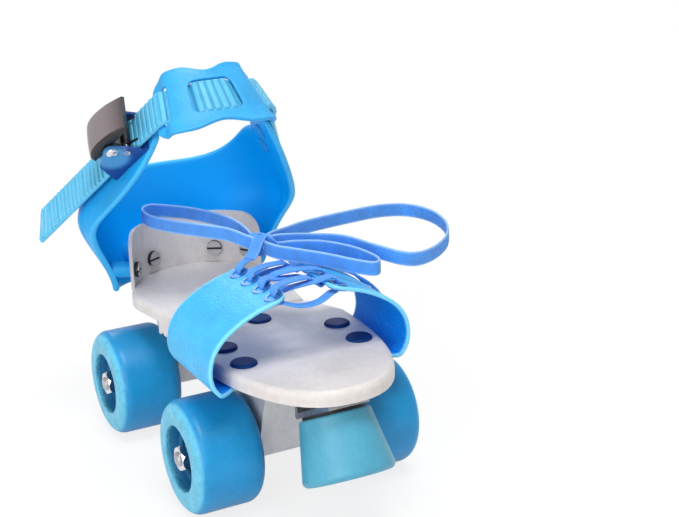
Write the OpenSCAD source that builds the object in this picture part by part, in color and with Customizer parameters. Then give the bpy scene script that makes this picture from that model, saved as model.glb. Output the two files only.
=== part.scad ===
// Clip-on roller skate for the right foot, closed to its shortest length.
// x points to the toe, y to the wearer's left, z up, and the deck top is z = 0.

/* [Wheels] */
// Wheel diameter
wheel_d = 54; // [50:1:56]
// Wheel width
wheel_w = 33.4; // [31:0.2:34]
// Distance over the outer faces of a pair of wheels
track_w = 114.8; // [114:0.2:120]
// Axle height below the deck top
axle_drop = 46.6; // [44:0.2:50]
// Distance between the axles when closed
wheelbase = 102; // [100:1:104]
// Diameter of the recess in a wheel's outer face
recess_d = 31; // [28:0.5:36]
// Depth of the recess in a wheel's outer face
recess_depth = 7; // [6.6:0.2:9]
// Rounding of the tread's shoulders
shoulder_r = 6; // [3:0.5:8]

/* [Axles and bearings] */
// Axle diameter
axle_d = 7; // [6:0.5:7]
// Bearing outside diameter
bearing_od = 22; // [21:0.5:24]
// Bearing width
bearing_w = 7; // [6:0.5:8]
// Balls in a bearing
ball_count = 7; // [5:1:7]
// Axle nut width across the flats
axle_nut_af = 11; // [10:0.5:13]
// Axle nut height
axle_nut_h = 5.5; // [4:0.5:6]

/* [Decks] */
// Sheet thickness of the decks
deck_t = 1.6; // [1.2:0.1:1.8]
// Depth of the turned-down rim
rim_h = 6.5; // [5.5:0.5:7]
// Outside radius of the rolled edge
rim_r = 3; // [2.2:0.2:4]
// Half width of the toe deck
toe_half_w = 42.8; // [42:0.2:44]
// Length of the rounded toe nose
toe_nose_len = 90; // [86:1:94]
// Radius of the rounded heel
heel_r = 40; // [39:0.2:41]
// Half width of both decks at the joint
joint_half_w = 32.8; // [30:0.2:35]
// Gap between the decks when closed
joint_gap = 2.5; // [1:0.5:4]
// Depth of the toothed flanges beside the joint
flange_h = 13; // [10:0.5:16]
// Height of the upright counter wall
counter_h = 28.5; // [25:0.5:32]

/* [Length bar] */
// Travel of the toe half
length_travel = 30; // [20:1:34]
// Width of the length bar
bar_w = 24; // [20:0.5:25]
// Thickness of the length bar
bar_t = 3; // [2.5:0.25:3.5]
// Diameter of the clamp bolt
clamp_d = 6; // [5:0.5:7]

/* [Trucks] */
// Gap between a truck's cheek and the wheel beside it
truck_gap = 3; // [2:0.25:4]
// Length of the truck's top
truck_len = 48; // [44:1:50]
// Sheet thickness of the trucks
truck_t = 2; // [1.6:0.1:2.4]
// Radius of the rounded truck foot
truck_foot_r = 9; // [8:0.5:11]

/* [Heel shell] */
// Wall of the moulded heel shell
shell_t = 3; // [2.5:0.1:3.4]
// Diameter of the rear bolt bosses
boss_d = 14; // [12:0.5:16]
// Diameter of the shell bolts
shell_bolt_d = 5; // [4:0.5:6]
// Side of the square washers
square_washer = 12; // [10:0.5:13]

/* [Strap and buckle] */
// Width of the ladder strap
strap_w = 19; // [17:0.5:19.5]
// Thickness of the strap between its ribs
strap_t = 1.6; // [1.2:0.1:1.6]
// Height of the ribs
rib_h = 1; // [0.6:0.1:1]
// Pitch of the ribs
rib_pitch = 3.5; // [3:0.1:4.5]
// Thickness of the instep pad
pad_t = 1.8; // [1.4:0.1:1.8]
// Half width of the instep pad at its middle
pad_half_w = 22; // [20:0.5:24]
// Length of the buckle lever
lever_len = 28.5; // [27:0.5:30]
// Diameter of the buckle's pins
pin_d = 3; // [2.5:0.25:3.5]

/* [Toe flaps and stop] */
// Thickness of the toe flaps
flap_t = 1.8; // [1.4:0.1:1.8]
// Length of the flaps along the foot
flap_len = 51; // [50:1:56]
// Diameter of the flap rivets' heads
flap_rivet_d = 12.5; // [10:0.5:14]
// Eyelet bore
eyelet_d = 4.6; // [4.4:0.1:5]
// Diameter of the toe stop's foot
stop_foot_d = 42; // [38:1:46]
// Diameter of the toe stop's top
stop_top_d = 33; // [28:1:36]
// Height of the toe stop
stop_h = 29; // [25:1:31]

/* [Hidden] */
$fn = 48;
// Radial clearance of parts that turn or slide on each other
run_c = 0.05;
// Clearance of soft and curved parts that only lie together
lie_c = 0.3;
// Seat clearance of fixed parts
seat_c = 0.01;
face_y = track_w / 2;
inner_face_y = track_w / 2 - wheel_w;
inner_recess = 2;
bearing_out_y = face_y - recess_depth - bearing_w;
bearing_in_y = inner_face_y + inner_recess;
race_d = axle_d + 3;
washer_t = 1.2;
rear_x = -wheelbase / 2;
front_x = wheelbase / 2;
truck_w = 2 * (inner_face_y - truck_gap);
joint_x = 3;
// Places along the skate, from the axle they belong to
heel_c = rear_x + 9;
toe_c = front_x - 23;
clamp_x = rear_x + 32.5;
toe_power = 2.37;
truck_top = -deck_t;
bar_top = -deck_t - truck_t - 0.4;
slot_len = 17;
slot_w = 8;
guide_t = 2;
guide_c = 0.15;
nut_d = function (af) af / cos(30);

function unit(v) = v / norm(v);
function mix(a, b, f) = a + (b - a) * f;
function soft_min(a, b, k) = -k * ln(exp(-a / k) + exp(-b / k));
function soft_max(a, b, k) = k * ln(exp(a / k) + exp(b / k));
function spline(a, b, c, d, f) =
    0.5 * (2 * b + (c - a) * f + (2 * a - 5 * b + 4 * c - d) * f * f + (3 * b - a - 3 * c + d) * f * f * f);
function curve(p, n) = let (m = len(p) - 1)
    [for (i = [0 : m - 1], k = [0 : n - 1])
        spline(p[max(i - 1, 0)], p[i], p[i + 1], p[min(i + 2, m)], k / n), p[m]];
function corner(a, b, c, d) = let (e = unit(b - a), f = unit(c - b), m = [e.y, -e.x], n = [f.y, -f.x])
    b - d * (m + n) / (1 + m * n);
function inset(p, d) = let (n = len(p))
    [for (i = [0 : n - 1]) corner(p[(i + n - 1) % n], p[i], p[(i + 1) % n], d)];
function raise(p, z) = [for (q = p) [q.x, q.y, z]];

// Closed solid through rings of points, each ring seen anticlockwise from the far end
module loft(rings) {
    n = len(rings[0]);
    m = len(rings);
    points = [for (r = rings, q = r) q];
    sides = [for (k = [0 : m - 2], i = [0 : n - 1], s = [0, 1]) let (j = (i + 1) % n)
        s == 0 ? [k * n + i, k * n + n + i, k * n + n + j] : [k * n + i, k * n + n + j, k * n + j]];
    polyhedron(points, concat(sides, [[for (i = [0 : n - 1]) i]], [[for (i = [n - 1 : -1 : 0])
        m * n - n + i]]));
}

// Closed sheet between two grids of points, with the cells that are left open skipped
module sheet(outer, inner, open) {
    c = len(outer);
    r = len(outer[0]);
    base = c * r;
    points = concat([for (a = outer, q = a) q], [for (a = inner, q = a) q]);
    solid = function (i, j) i >= 0 && j >= 0 && i < c - 1 && j < r - 1 && !open(i, j);
    t = function (i, j) i * r + j;
    quads = [for (i = [0 : c - 2], j = [0 : r - 2]) if (solid(i, j)) each concat(
        [[t(i, j), t(i, j + 1), t(i + 1, j + 1), t(i + 1, j)]],
        [[base + t(i, j), base + t(i + 1, j), base + t(i + 1, j + 1), base + t(i, j + 1)]],
        solid(i, j - 1) ? [] : [[t(i, j), t(i + 1, j), base + t(i + 1, j), base + t(i, j)]],
        solid(i, j + 1) ? [] : [[t(i + 1, j + 1), t(i, j + 1), base + t(i, j + 1), base + t(i + 1, j + 1)]],
        solid(i - 1, j) ? [] : [[t(i, j + 1), t(i, j), base + t(i, j), base + t(i, j + 1)]],
        solid(i + 1, j) ? [] : [[t(i + 1, j), t(i + 1, j + 1), base + t(i + 1, j + 1), base + t(i + 1,
            j)]])];
    polyhedron(points, [for (q = quads, s = [0, 1]) s == 0 ? [q[0], q[1], q[2]] : [q[0], q[2], q[3]]]);
}

module side_view(w) rotate([90, 0, 0]) linear_extrude(w, center = true) children();

// Decks

toe_back_x = joint_x + joint_gap;
toe_outline = concat([[toe_back_x, -joint_half_w - 0.6]],
    [for (a = [-90 : 4.5 : 90]) [toe_c + toe_nose_len * pow(abs(cos(a)), 2 / toe_power),
        toe_half_w * sign(a) * pow(abs(sin(a)), 2 / toe_power)]],
    [[toe_back_x, joint_half_w + 0.6]]);
heel_waist = mix(joint_half_w, heel_r, 0.72);
waist_x = heel_c + 13;
heel_outline = concat([[joint_x, -joint_half_w], [joint_x, joint_half_w], [waist_x, heel_waist]],
    [for (a = [90 : 7.5 : 270]) [heel_c + heel_r * cos(a), heel_r * sin(a)]], [[waist_x, -heel_waist]]);

module slab(p, drop, r, h) loft(concat([raise(p, -h)],
    [for (a = [0 : 22.5 : 90]) raise(inset(p, r * (1 - cos(a))), -drop - r + r * sin(a))]));

module tray(p) difference() {
    slab(p, 0, rim_r, rim_h);
    slab(inset(p, deck_t), deck_t, rim_r - deck_t, rim_h + 2);
}

module toothed_flange(p, x0, x1) intersection() {
    translate([0, 0, -flange_h]) linear_extrude(flange_h - rim_r) difference() {
        polygon(inset(p, 0.2));
        polygon(inset(p, deck_t - 0.2));
    }
    side_view(100) difference() {
        translate([x0, -flange_h]) square([x1 - x0, flange_h - rim_r]);
        for (k = [0 : 3]) translate([x0 + (k + 0.6) * (x1 - x0) / 4.2, -flange_h]) circle(d = 3, $fn = 24);
    }
}

module bar_gate(x) translate([x - 3, -bar_w / 2 - 4, -rim_h - 3]) cube([6, bar_w + 8, rim_h + 3 - deck_t]);

// Four bosses hold the shell on the counter wall, the rear pair by bolts that go through and the
// front pair by screws that end in the shell's own wall
boss_z = 8;
boss_gap = 0.2;
bolt_c = 0.1;
through_bosses = [152, 208];
blind_bosses = [123, 237];
through_reach = heel_r + 19.4;
blind_reach = heel_r + 11.2;
screw_end = blind_reach - 1.7;
blind_boss_d = 9;
counter_round = 11;
module at_boss(a) translate([heel_c, 0, boss_z]) rotate([0, 0, a]) rotate([0, 90, 0]) children();

module rivet_holes(spots, d) for (s = spots) translate([s.x, s.y, -deck_t - 1])
    cylinder(d = d, h = deck_t + 2);

truck_rivet_d = 4.5;
truck_rivet_y = bar_w / 2 + 3.6;
truck_rivet_in = 6.4;
function truck_spots(x) = [for (i = [-1, 1], j = [-1, 1]) [x + i * (truck_len / 2 - truck_rivet_in),
    j * truck_rivet_y]];

module heel_plate() color("gainsboro") difference() {
    union() {
        tray(heel_outline);
        toothed_flange(heel_outline, joint_x - 24, joint_x - 0.4);
        intersection() {
            translate([0, 0, -deck_t / 2]) linear_extrude(counter_h + deck_t / 2) difference() {
                polygon(inset(heel_outline, 0));
                polygon(inset(heel_outline, deck_t));
            }
            side_view(100) hull() {
                translate([heel_c - heel_r - 1, -deck_t]) square([16, counter_h + deck_t]);
                translate([heel_c - 16, -deck_t]) square([1, 10]);
                translate([heel_c - 26, counter_h - counter_round]) circle(r = counter_round);
            }
        }
    }
    bar_gate(joint_x);
    translate([clamp_x - slot_len / 2, -slot_w / 2, -deck_t - 1]) cube([slot_len, slot_w, deck_t + 2]);
    rivet_holes(truck_spots(rear_x), truck_rivet_d + 2 * seat_c);
    for (a = concat(through_bosses, blind_bosses)) at_boss(a)
        translate([0, 0, heel_r - 6]) cylinder(d = shell_bolt_d + 2 * bolt_c, h = 12);
}

slider_rivet_x = front_x - 31;
flap_rivet_y = 29.2;
flap_rivet_spots = [for (x = [front_x - 5.4, front_x + 16.4], y = [-flap_rivet_y, flap_rivet_y]) [x, y]];
flap_rivet_shank = 5;

module toe_plate() color("gainsboro") difference() {
    union() {
        tray(toe_outline);
        toothed_flange(toe_outline, toe_back_x + 0.4, toe_back_x + 20);
    }
    bar_gate(toe_back_x);
    translate([toe_back_x + 3, -3, -deck_t - 1]) cube([7, 6, deck_t + 2]);
    rivet_holes(truck_spots(front_x), truck_rivet_d + 2 * seat_c);
    rivet_holes(flap_rivet_spots, flap_rivet_shank + 2 * seat_c);
    rivet_holes([[slider_rivet_x, 0]], flap_rivet_shank + 2 * seat_c);
}

// Length bar and its clamp

bar_back_x = clamp_x - length_travel - clamp_d / 2 - 6;
bar_front_x = front_x - truck_len / 2 - 0.5;
bar_bottom = bar_top - bar_t;
bar_pad_x = toe_back_x + 2;

module length_slider() color("silver") difference() {
    union() {
        translate([bar_back_x, -bar_w / 2, bar_bottom]) cube([bar_front_x - bar_back_x, bar_w, bar_t]);
        translate([bar_pad_x, -bar_w / 2, bar_bottom + 1])
            cube([bar_front_x - bar_pad_x, bar_w, -deck_t - seat_c - bar_bottom - 1]);
    }
    translate([0, 0, bar_bottom - 1]) linear_extrude(bar_t + 2) hull() {
        translate([clamp_x, 0]) circle(d = clamp_d + 4 * run_c);
        translate([clamp_x - length_travel, 0]) circle(d = clamp_d + 4 * run_c);
    }
    translate([slider_rivet_x, 0, bar_bottom - 1]) cylinder(d = flap_rivet_shank + 2 * seat_c,
        h = bar_t + 8);
}

module deck_rivet(x, y, bottom, head_d, head_h) translate([x, y, 0]) {
    translate([0, 0, bottom]) cylinder(d = flap_rivet_shank, h = -bottom + seat_c);
    translate([0, 0, seat_c]) rotate_extrude() polygon(concat([[0, 0], [head_d / 2, 0]],
        [for (a = [0 : 15 : 90]) [head_d / 2 - head_h + head_h * cos(a), head_h * sin(a) * 0.98], [0,
            head_h * 0.98]]));
    translate([0, 0, bottom - 1.4]) cylinder(d = flap_rivet_shank + 2.6, h = 1.4);
}

module slider_rivet() color("midnightblue") deck_rivet(slider_rivet_x, 0, bar_bottom - seat_c,
    flap_rivet_d, 1.4);

guide_x = clamp_x - 4.8;
guide_len = joint_x - 2.5 - guide_x;
guide_in = bar_w + 2 * guide_c;
guide_floor = bar_bottom - guide_c - guide_t;

module slider_guide() color("silver") difference() {
    union() {
        translate([guide_x, -guide_in / 2 - guide_t, guide_floor])
            cube([guide_len, guide_in + 2 * guide_t, -deck_t - seat_c - guide_floor]);
        translate([guide_x, -guide_in / 2 - guide_t - 5, -deck_t - seat_c - guide_t])
            cube([guide_len, guide_in + 2 * guide_t + 10, guide_t]);
    }
    translate([guide_x - 1, -guide_in / 2, guide_floor + guide_t]) cube([guide_len + 2, guide_in, 20]);
    translate([clamp_x, 0, guide_floor - 1]) cylinder(d = clamp_d + 2 * run_c, h = guide_t + 2);
}

clamp_end = guide_floor - 11;

module clamp_bolt() color("silver") {
    translate([clamp_x - slot_len / 2 + 0.2, -slot_w / 2 + 0.2, bar_top + run_c])
        cube([slot_len - 0.4, slot_w - 0.4, -0.5 - bar_top - run_c]);
    translate([clamp_x, 0, clamp_end]) cylinder(d = clamp_d, h = bar_top - clamp_end + 1);
}

module clamp_wing_nut() color("silver") translate([clamp_x, 0, guide_floor - seat_c]) difference() {
    union() {
        translate([0, 0, -1.6]) cylinder(d = 14, h = 1.6);
        translate([0, 0, -8]) cylinder(d = 10, h = 7);
        for (s = [90, 270]) rotate([90, 0, s]) linear_extrude(2.4, center = true) hull() {
            translate([3, -6]) square([1, 4]);
            translate([13, -9]) circle(d = 7, $fn = 32);
        }
    }
    translate([0, 0, -12]) cylinder(d = clamp_d + 2 * seat_c, h = 13);
}

// Trucks, axles and wheels

module truck_profile(x) translate([x, 0]) hull() {
    translate([0, -axle_drop]) circle(r = truck_foot_r, $fn = 64);
    translate([-truck_len / 2, truck_top - seat_c - truck_t]) square([truck_len, truck_t]);
}

module truck(x) difference() {
    side_view(truck_w) truck_profile(x);
    side_view(truck_w - 2 * truck_t) {
        offset(delta = -truck_t) truck_profile(x);
        translate([x - truck_foot_r + truck_t, -axle_drop - 20]) square([2 * (truck_foot_r - truck_t), 20]);
    }
    translate([x, -40, -axle_drop]) rotate([-90, 0, 0]) cylinder(d = axle_d + 2 * seat_c, h = 80);
    for (s = truck_spots(x)) translate([s.x, s.y, truck_top - truck_t - 1])
        cylinder(d = truck_rivet_d + 2 * seat_c, h = truck_t + 2);
}

module rear_truck() color("lightgray") difference() {
    truck(rear_x);
    translate([rear_x + 4, -bar_w / 2 - 0.4, bar_bottom - 0.4]) cube([truck_len, bar_w + 0.8, bar_t + 0.6]);
}

module front_truck() color("lightgray") truck(front_x);

module truck_rivets(x) for (s = truck_spots(x)) translate([s.x, s.y, 0]) {
    translate([0, 0, truck_top - truck_t - 2 * seat_c]) cylinder(d = truck_rivet_d,
        h = -truck_top + truck_t);
    translate([0, 0, truck_top - truck_t - 2 * seat_c - 1.2]) cylinder(d = truck_rivet_d + 1.9, h = 1.2);
}
module rear_truck_rivets() color("silver") truck_rivets(rear_x);
module front_truck_rivets() color("silver") truck_rivets(front_x);

module axle_tube(x, y, h, d) for (s = [0, 1]) mirror([0, s, 0]) translate([x, y, -axle_drop])
    rotate([-90, 0, 0])
    difference() {
        cylinder(d = d, h = h);
        translate([0, 0, -1]) cylinder(d = axle_d + 2 * seat_c, h = h + 2);
    }

nut_y = bearing_out_y + bearing_w + washer_t + 2 * seat_c;
axle_half = nut_y + axle_nut_h + 1.2;

module axle(x) translate([x, -axle_half, -axle_drop]) rotate([-90, 0, 0]) rotate_extrude()
    polygon([[0, 0], [axle_d / 2 - 0.8, 0], [axle_d / 2, 0.8], [axle_d / 2, 2 * axle_half - 0.8],
        [axle_d / 2 - 0.8, 2 * axle_half], [0, 2 * axle_half]]);
module rear_axle() color("silver") axle(rear_x);
module front_axle() color("silver") axle(front_x);

module axle_nuts(x) for (s = [0, 1]) mirror([0, s, 0]) translate([x, nut_y, -axle_drop])
    rotate([-90, 30, 0])
    difference() {
        intersection() {
            cylinder(d = nut_d(axle_nut_af), h = axle_nut_h, $fn = 6);
            translate([0, 0, -0.01]) cylinder(d1 = axle_nut_af + 8, d2 = axle_nut_af - 0.2,
                h = axle_nut_h + 0.02);
        }
        translate([0, 0, -1]) cylinder(d = axle_d + 2 * seat_c, h = axle_nut_h + 2);
    }
module rear_axle_nuts() color("silver") axle_nuts(rear_x);
module front_axle_nuts() color("silver") axle_nuts(front_x);

module axle_washers(x) axle_tube(x, bearing_out_y + bearing_w + seat_c, washer_t, axle_d + 6);
module rear_axle_washers() color("dimgray") axle_washers(rear_x);
module front_axle_washers() color("dimgray") axle_washers(front_x);

module spacers(x) {
    axle_tube(x, truck_w / 2 + seat_c, bearing_in_y - truck_w / 2 - 2 * seat_c, axle_d + 5);
    axle_tube(x, bearing_in_y + bearing_w + seat_c,
        bearing_out_y - bearing_in_y - bearing_w - 2 * seat_c, race_d);
}
module rear_spacers() color("dimgray") spacers(rear_x);
module front_spacers() color("dimgray") spacers(front_x);

module bearing_races(x) for (y = [bearing_in_y, bearing_out_y]) axle_tube(x, y, bearing_w, race_d);
module rear_bearing_races() color("silver") bearing_races(rear_x);
module front_bearing_races() color("silver") bearing_races(front_x);

ring_wall = 1.8;
shield_in = race_d / 2 + 0.25;
ball_pitch = (race_d / 2 + bearing_od / 2 - ring_wall) / 2;
ball_d = bearing_od / 2 - ring_wall - race_d / 2 - 0.2;

module bearing() {
    rotate_extrude() polygon([[shield_in, 0.3], [bearing_od / 2 - ring_wall, 0.3],
        [bearing_od / 2 - ring_wall, 0],
        [bearing_od / 2, 0], [bearing_od / 2, bearing_w], [bearing_od / 2 - ring_wall, bearing_w],
        [bearing_od / 2 - ring_wall, bearing_w - 0.3], [shield_in, bearing_w - 0.3], [shield_in,
            bearing_w - 0.9],
        [bearing_od / 2 - ring_wall, bearing_w - 0.9], [bearing_od / 2 - ring_wall, 0.9], [shield_in,
            0.9]]);
    for (k = [0 : ball_count - 1]) rotate([0, 0, k * 360 / ball_count])
        translate([ball_pitch, 0, bearing_w / 2])
        sphere(d = ball_d, $fn = 24);
}
module bearings(x, s) color("dimgray") mirror([0, s, 0]) for (y = [bearing_in_y, bearing_out_y])
    translate([x, y, -axle_drop]) rotate([-90, 0, 0]) bearing();
module bearings_rear_right() bearings(rear_x, 1);
module bearings_rear_left() bearings(rear_x, 0);
module bearings_front_right() bearings(front_x, 1);
module bearings_front_left() bearings(front_x, 0);

wheel_r = wheel_d / 2;
seat_r = bearing_od / 2 + seat_c;
land_r = seat_r - 2;
module wheel(x, s) color("steelblue") mirror([0, s, 0]) translate([x, inner_face_y, -axle_drop])
    rotate([-90, 0, 0])
    rotate_extrude($fn = 96) polygon(concat(
        [[seat_r + 1.4, 0], [seat_r, inner_recess], [seat_r, inner_recess + bearing_w + seat_c],
            [land_r, inner_recess + bearing_w + seat_c], [land_r, wheel_w - recess_depth - bearing_w - seat_c],
            [seat_r, wheel_w - recess_depth - bearing_w - seat_c], [seat_r, wheel_w - recess_depth + 0.4],
            [recess_d / 2 - 1.6, wheel_w - recess_depth + 0.4], [recess_d / 2, wheel_w - 1],
                [recess_d / 2 + 1, wheel_w]],
        [for (a = [90 : -10 : 0]) [wheel_r - shoulder_r + shoulder_r * cos(a),
            wheel_w - shoulder_r + shoulder_r * sin(a)]],
        [for (a = [0 : -10 : -90]) [wheel_r - shoulder_r + shoulder_r * cos(a),
            shoulder_r + shoulder_r * sin(a)]]));
module wheel_rear_right() wheel(rear_x, 1);
module wheel_rear_left() wheel(rear_x, 0);
module wheel_front_right() wheel(front_x, 1);
module wheel_front_left() wheel(front_x, 0);

// Heel shell: a bulging cup that narrows upward into two flat arms

shell_c = heel_c - 24;
arm_run = 0.139;
arm_fall = 0.493;
arm_reach = heel_r + 29.5;
flare_base = heel_r + 1.8;
flare_rise = 0.55;
foot_half = heel_r + 3.6;
shell_foot = -4;
shell_back_x = heel_c - heel_r - 22;
shell_back_tuck = 18;
shell_top_back = 54;
function shell_bulge(z) = soft_min(flare_base + flare_rise * z,
    arm_reach - arm_run * shell_c - arm_fall * z, 3.5);
function shell_half(z) = z > 24 ? shell_bulge(z) : soft_max(foot_half, shell_bulge(z), 1.5);
function shell_back(z) = shell_back_x + shell_back_tuck * exp(-(z - shell_foot) / 14);
function shell_side(x, z, d) = [x, shell_half(z) - 1.13 * d - arm_run * (x - shell_c), z];
function shell_round(a, z, d) =
    [shell_c + (shell_back(z) + d - shell_c) * cos(a), (shell_half(z) - 1.13 * d) * sin(a), z];
// Front rim and upper edge of an arm, from the cup to the tip
arm_rim = [for (q = [[-24, -4], [-22, 16], [-17, 28], [-11, 38.5], [-4, 46.5], [4, 54.5], [12, 62.5],
    [19.5, 72],
    [23, 80.5], [23.6, 84]]) [heel_c + q.x, q.y]];
arm_edge = [for (q = [[-24, 92.5], [-20, 94.5], [-15.5, 96.5], [-10, 98], [-4, 99], [2, 99.3], [8, 99],
    [14.5, 97],
    [20.5, 92], [22.8, 88.6]]) [heel_c + q.x, q.y]];
shell_rows = 13;
back_steps = 9;
function back_top(a) = mix(shell_top_back, arm_edge[0].y, pow(sin(a), 2.6));
function shell_column(lo, hi, d) = [for (k = [0 : shell_rows]) let (q = mix(lo, hi, k / shell_rows))
    shell_side(q.x, q.y, d)];
function shell_arm(d) = [for (i = [1 : len(arm_rim) - 1]) shell_column(arm_rim[i], arm_edge[i], d)];
function shell_cup(d) = [for (i = [0 : back_steps]) let (a = 90 * i / back_steps)
    [for (k = [0 : shell_rows]) shell_round(a, mix(shell_foot, back_top(a), k / shell_rows), d)]];
function mirrored(g) = [for (i = [len(g) - 1 : -1 : 1]) [for (q = g[i]) [q.x, -q.y, q.z]]];
function shell_grid(d) = let (g = concat(shell_cup(d), shell_arm(d))) concat(mirrored(g), g);

module boss(d, end) translate([0, 0, heel_r + boss_gap]) cylinder(d = d, h = end - heel_r - boss_gap);
module boss_bore(end) translate([0, 0, heel_r - 2]) cylinder(d = shell_bolt_d + 2 * bolt_c,
    h = end - heel_r + 2);

module heel_shell() color("dodgerblue") difference() {
    union() {
        sheet(shell_grid(shell_t), shell_grid(0), function (i, j) false);
        for (a = through_bosses) at_boss(a) boss(boss_d, through_reach);
        for (a = blind_bosses) at_boss(a) boss(blind_boss_d, blind_reach);
    }
    for (a = through_bosses) at_boss(a) boss_bore(through_reach + 20);
    for (a = blind_bosses) at_boss(a) boss_bore(screw_end);
    for (s = strap_rivet_runs) at_left_arm(s) translate([0, 0, -9])
        cylinder(d = strap_rivet_d + 2 * seat_c, h = 12);
    at_buckle() for (q = base_rivets) translate([q.x, q.y, -9])
        cylinder(d = base_rivet_d + 2 * seat_c, h = 12);
}

bolt_head_z = heel_r - deck_t - 0.35;
bolt_head_h = 2.4;
shell_nut_h = 4;
bolt_end = through_reach + washer_t + shell_nut_h + 1;
module shell_bolt(end) difference() {
    union() {
        translate([0, 0, bolt_head_z - bolt_head_h]) cylinder(d = shell_bolt_d + 3, h = bolt_head_h);
        translate([0, 0, bolt_head_z - 1]) cylinder(d = shell_bolt_d, h = end - bolt_head_z + 1);
    }
    translate([-0.6, -5, bolt_head_z - bolt_head_h - 1]) cube([1.2, 10, 2]);
}
module shell_bolts() color("silver") {
    for (a = through_bosses) at_boss(a) shell_bolt(bolt_end);
    for (a = blind_bosses) at_boss(a) shell_bolt(screw_end - bolt_c);
}
module shell_square_washers() color("silver") for (a = through_bosses) at_boss(a)
    translate([0, 0, through_reach + seat_c]) difference() {
        translate([-square_washer / 2, -square_washer / 2, 0]) cube([square_washer, square_washer,
            washer_t]);
        translate([0, 0, -1]) cylinder(d = shell_bolt_d + 2 * seat_c, h = washer_t + 2);
    }
module shell_nuts() color("silver") for (a = through_bosses) at_boss(a)
    translate([0, 0, through_reach + washer_t + 2 * seat_c]) difference() {
        cylinder(d = nut_d(shell_bolt_d + 3), h = shell_nut_h, $fn = 6);
        translate([0, 0, -1]) cylinder(d = shell_bolt_d + 2 * seat_c, h = shell_nut_h + 2);
    }

// Ankle strap: straight on both arms, arched over the instep. Places on it are given by the
// run along the strap from the buckle, the side step and the lift off the strap's middle layer.

arm_out = unit([arm_run, -1, arm_fall]);
strap_up = let (v = [0.65, 0.41, 0.64]) unit(v - (v * arm_out) * arm_out);
strap_side = cross(arm_out, strap_up);
buckle_x = heel_c - 3.5;
buckle_z = 75.5;
buckle_at = [buckle_x, -(arm_reach - arm_run * buckle_x - arm_fall * buckle_z), buckle_z];
strap_lift = 3.4;
arch_from = 32;
arch_pull = 22.5;
tail_run = -76;
left_run = 50;
function flip(v) = [v.x, -v.y, v.z];
arch_a = buckle_at + strap_lift * arm_out + arch_from * strap_up;
arch_b = arch_a + arch_pull * strap_up;
function arch(f) = pow(1 - f, 3) * arch_a + 3 * pow(1 - f,
    2) * f * arch_b + 3 * (1 - f) * f * f * flip(arch_b)
    + pow(f, 3) * flip(arch_a);
function arch_way(f) = unit(pow(1 - f, 2) * (arch_b - arch_a) + 2 * (1 - f) * f * (flip(arch_b) - arch_b)
    + f * f * (flip(arch_a) - flip(arch_b)));
arch_len = let (n = 40) [for (k = [0 : n - 1]) norm(arch((k + 1) / n) - arch(k / n))] * [for (k = [1 : n]) 1];
strap_end = arch_from + arch_len + left_run;
function strap_f(s) = min(max((s - arch_from) / arch_len, 0), 1);
function strap_way(s) = arch_way(strap_f(s));
function strap_mid(s) = let (f = strap_f(s)) arch(f) + strap_way(s)
    * (s < arch_from ? s - arch_from : s > arch_from + arch_len ? s - arch_from - arch_len : 0);
function strap_right(s) = let (w = strap_way(s), r = mix(strap_side, flip(strap_side), strap_f(s)))
    unit(r - (r * w) * w);
function on_strap(s, r, h) = let (u = strap_right(s)) strap_mid(s) + r * u + h * cross(strap_way(s), u);
function ease(f) = let (g = min(max(f, 0), 1)) g * g * (3 - 2 * g);
// The pad lies on the arm tips and rises over the strap at its window
arch_mid = arch_from + arch_len / 2;
window_half = 18;
slot_near = window_half + 4;
slot_far = window_half + 13;
pad_reach = arch_len / 2 + 12;
pad_low = -strap_lift + lie_c + pad_t / 2;
pad_high = 1;
function pad_lift(s) = mix(pad_high, pad_low, ease((abs(s - arch_mid) - slot_near) / (slot_far - slot_near)));
strap_under = pad_high - pad_t / 2 - lie_c - strap_t / 2 - rib_h;
function strap_shift(s) = let (d = abs(s - arch_mid))
    d < slot_far + 2 ? mix(strap_under, 0, ease((d - slot_near - 0.5) / (slot_far - slot_near - 1)))
    : s > arch_mid ? mix(0, -strap_lift + strap_t / 2 + 0.1, ease((d - pad_reach - 1) / 8)) : 0;
function strap_skew(s) = 0.4 * max(0, 1 - (s - tail_run) / 14);
function strap_ring(s, top) = let (w = strap_w / 2, h = strap_shift(s), k = strap_skew(s))
    [on_strap(s - k * w, -w, h - strap_t / 2), on_strap(s + k * w, w, h - strap_t / 2),
        on_strap(s + k * w, w, h + top), on_strap(s - k * w, -w, h + top)];
rib_count = floor((strap_end - tail_run - 6) / rib_pitch);
module ladder_strap() color("powderblue") difference() {
    loft(concat([for (k = [0 : rib_count - 1], q = [[0, 0], [0.35, 0], [0.5, 1], [0.85, 1]])
        strap_ring(tail_run + 3 + (k + q[0]) * rib_pitch, strap_t / 2 + rib_h * q[1])],
        [strap_ring(tail_run + 3 + rib_count * rib_pitch, strap_t / 2), strap_ring(strap_end,
            strap_t / 2)]));
    for (s = strap_rivet_runs) at_left_arm(s) translate([0, 0, -6])
        cylinder(d = strap_rivet_d + 2 * seat_c, h = 14);
}

strap_rivet_d = 4;
strap_rivet_runs = [strap_end - 6, strap_end - 22];
module at_strap(s) {
    w = strap_way(s);
    r = strap_right(s);
    n = cross(w, r);
    p = strap_mid(s);
    multmatrix([[w.x, r.x, n.x, p.x], [w.y, r.y, n.y, p.y], [w.z, r.z, n.z, p.z], [0, 0, 0, 1]]) children();
}
module at_left_arm(s) at_strap(s) translate([0, 0, -strap_lift]) children();
module strap_rivets() color("royalblue") for (s = strap_rivet_runs) at_left_arm(s) {
    translate([0, 0, -shell_t - 0.6]) cylinder(d = strap_rivet_d,
        h = shell_t + 0.6 + strap_t + rib_h + 0.3);
    translate([0, 0, strap_t + rib_h + 0.25]) cylinder(d = 8, h = 1);
    translate([0, 0, -shell_t - 1.4]) cylinder(d = 8, h = 1.3);
}

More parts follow.
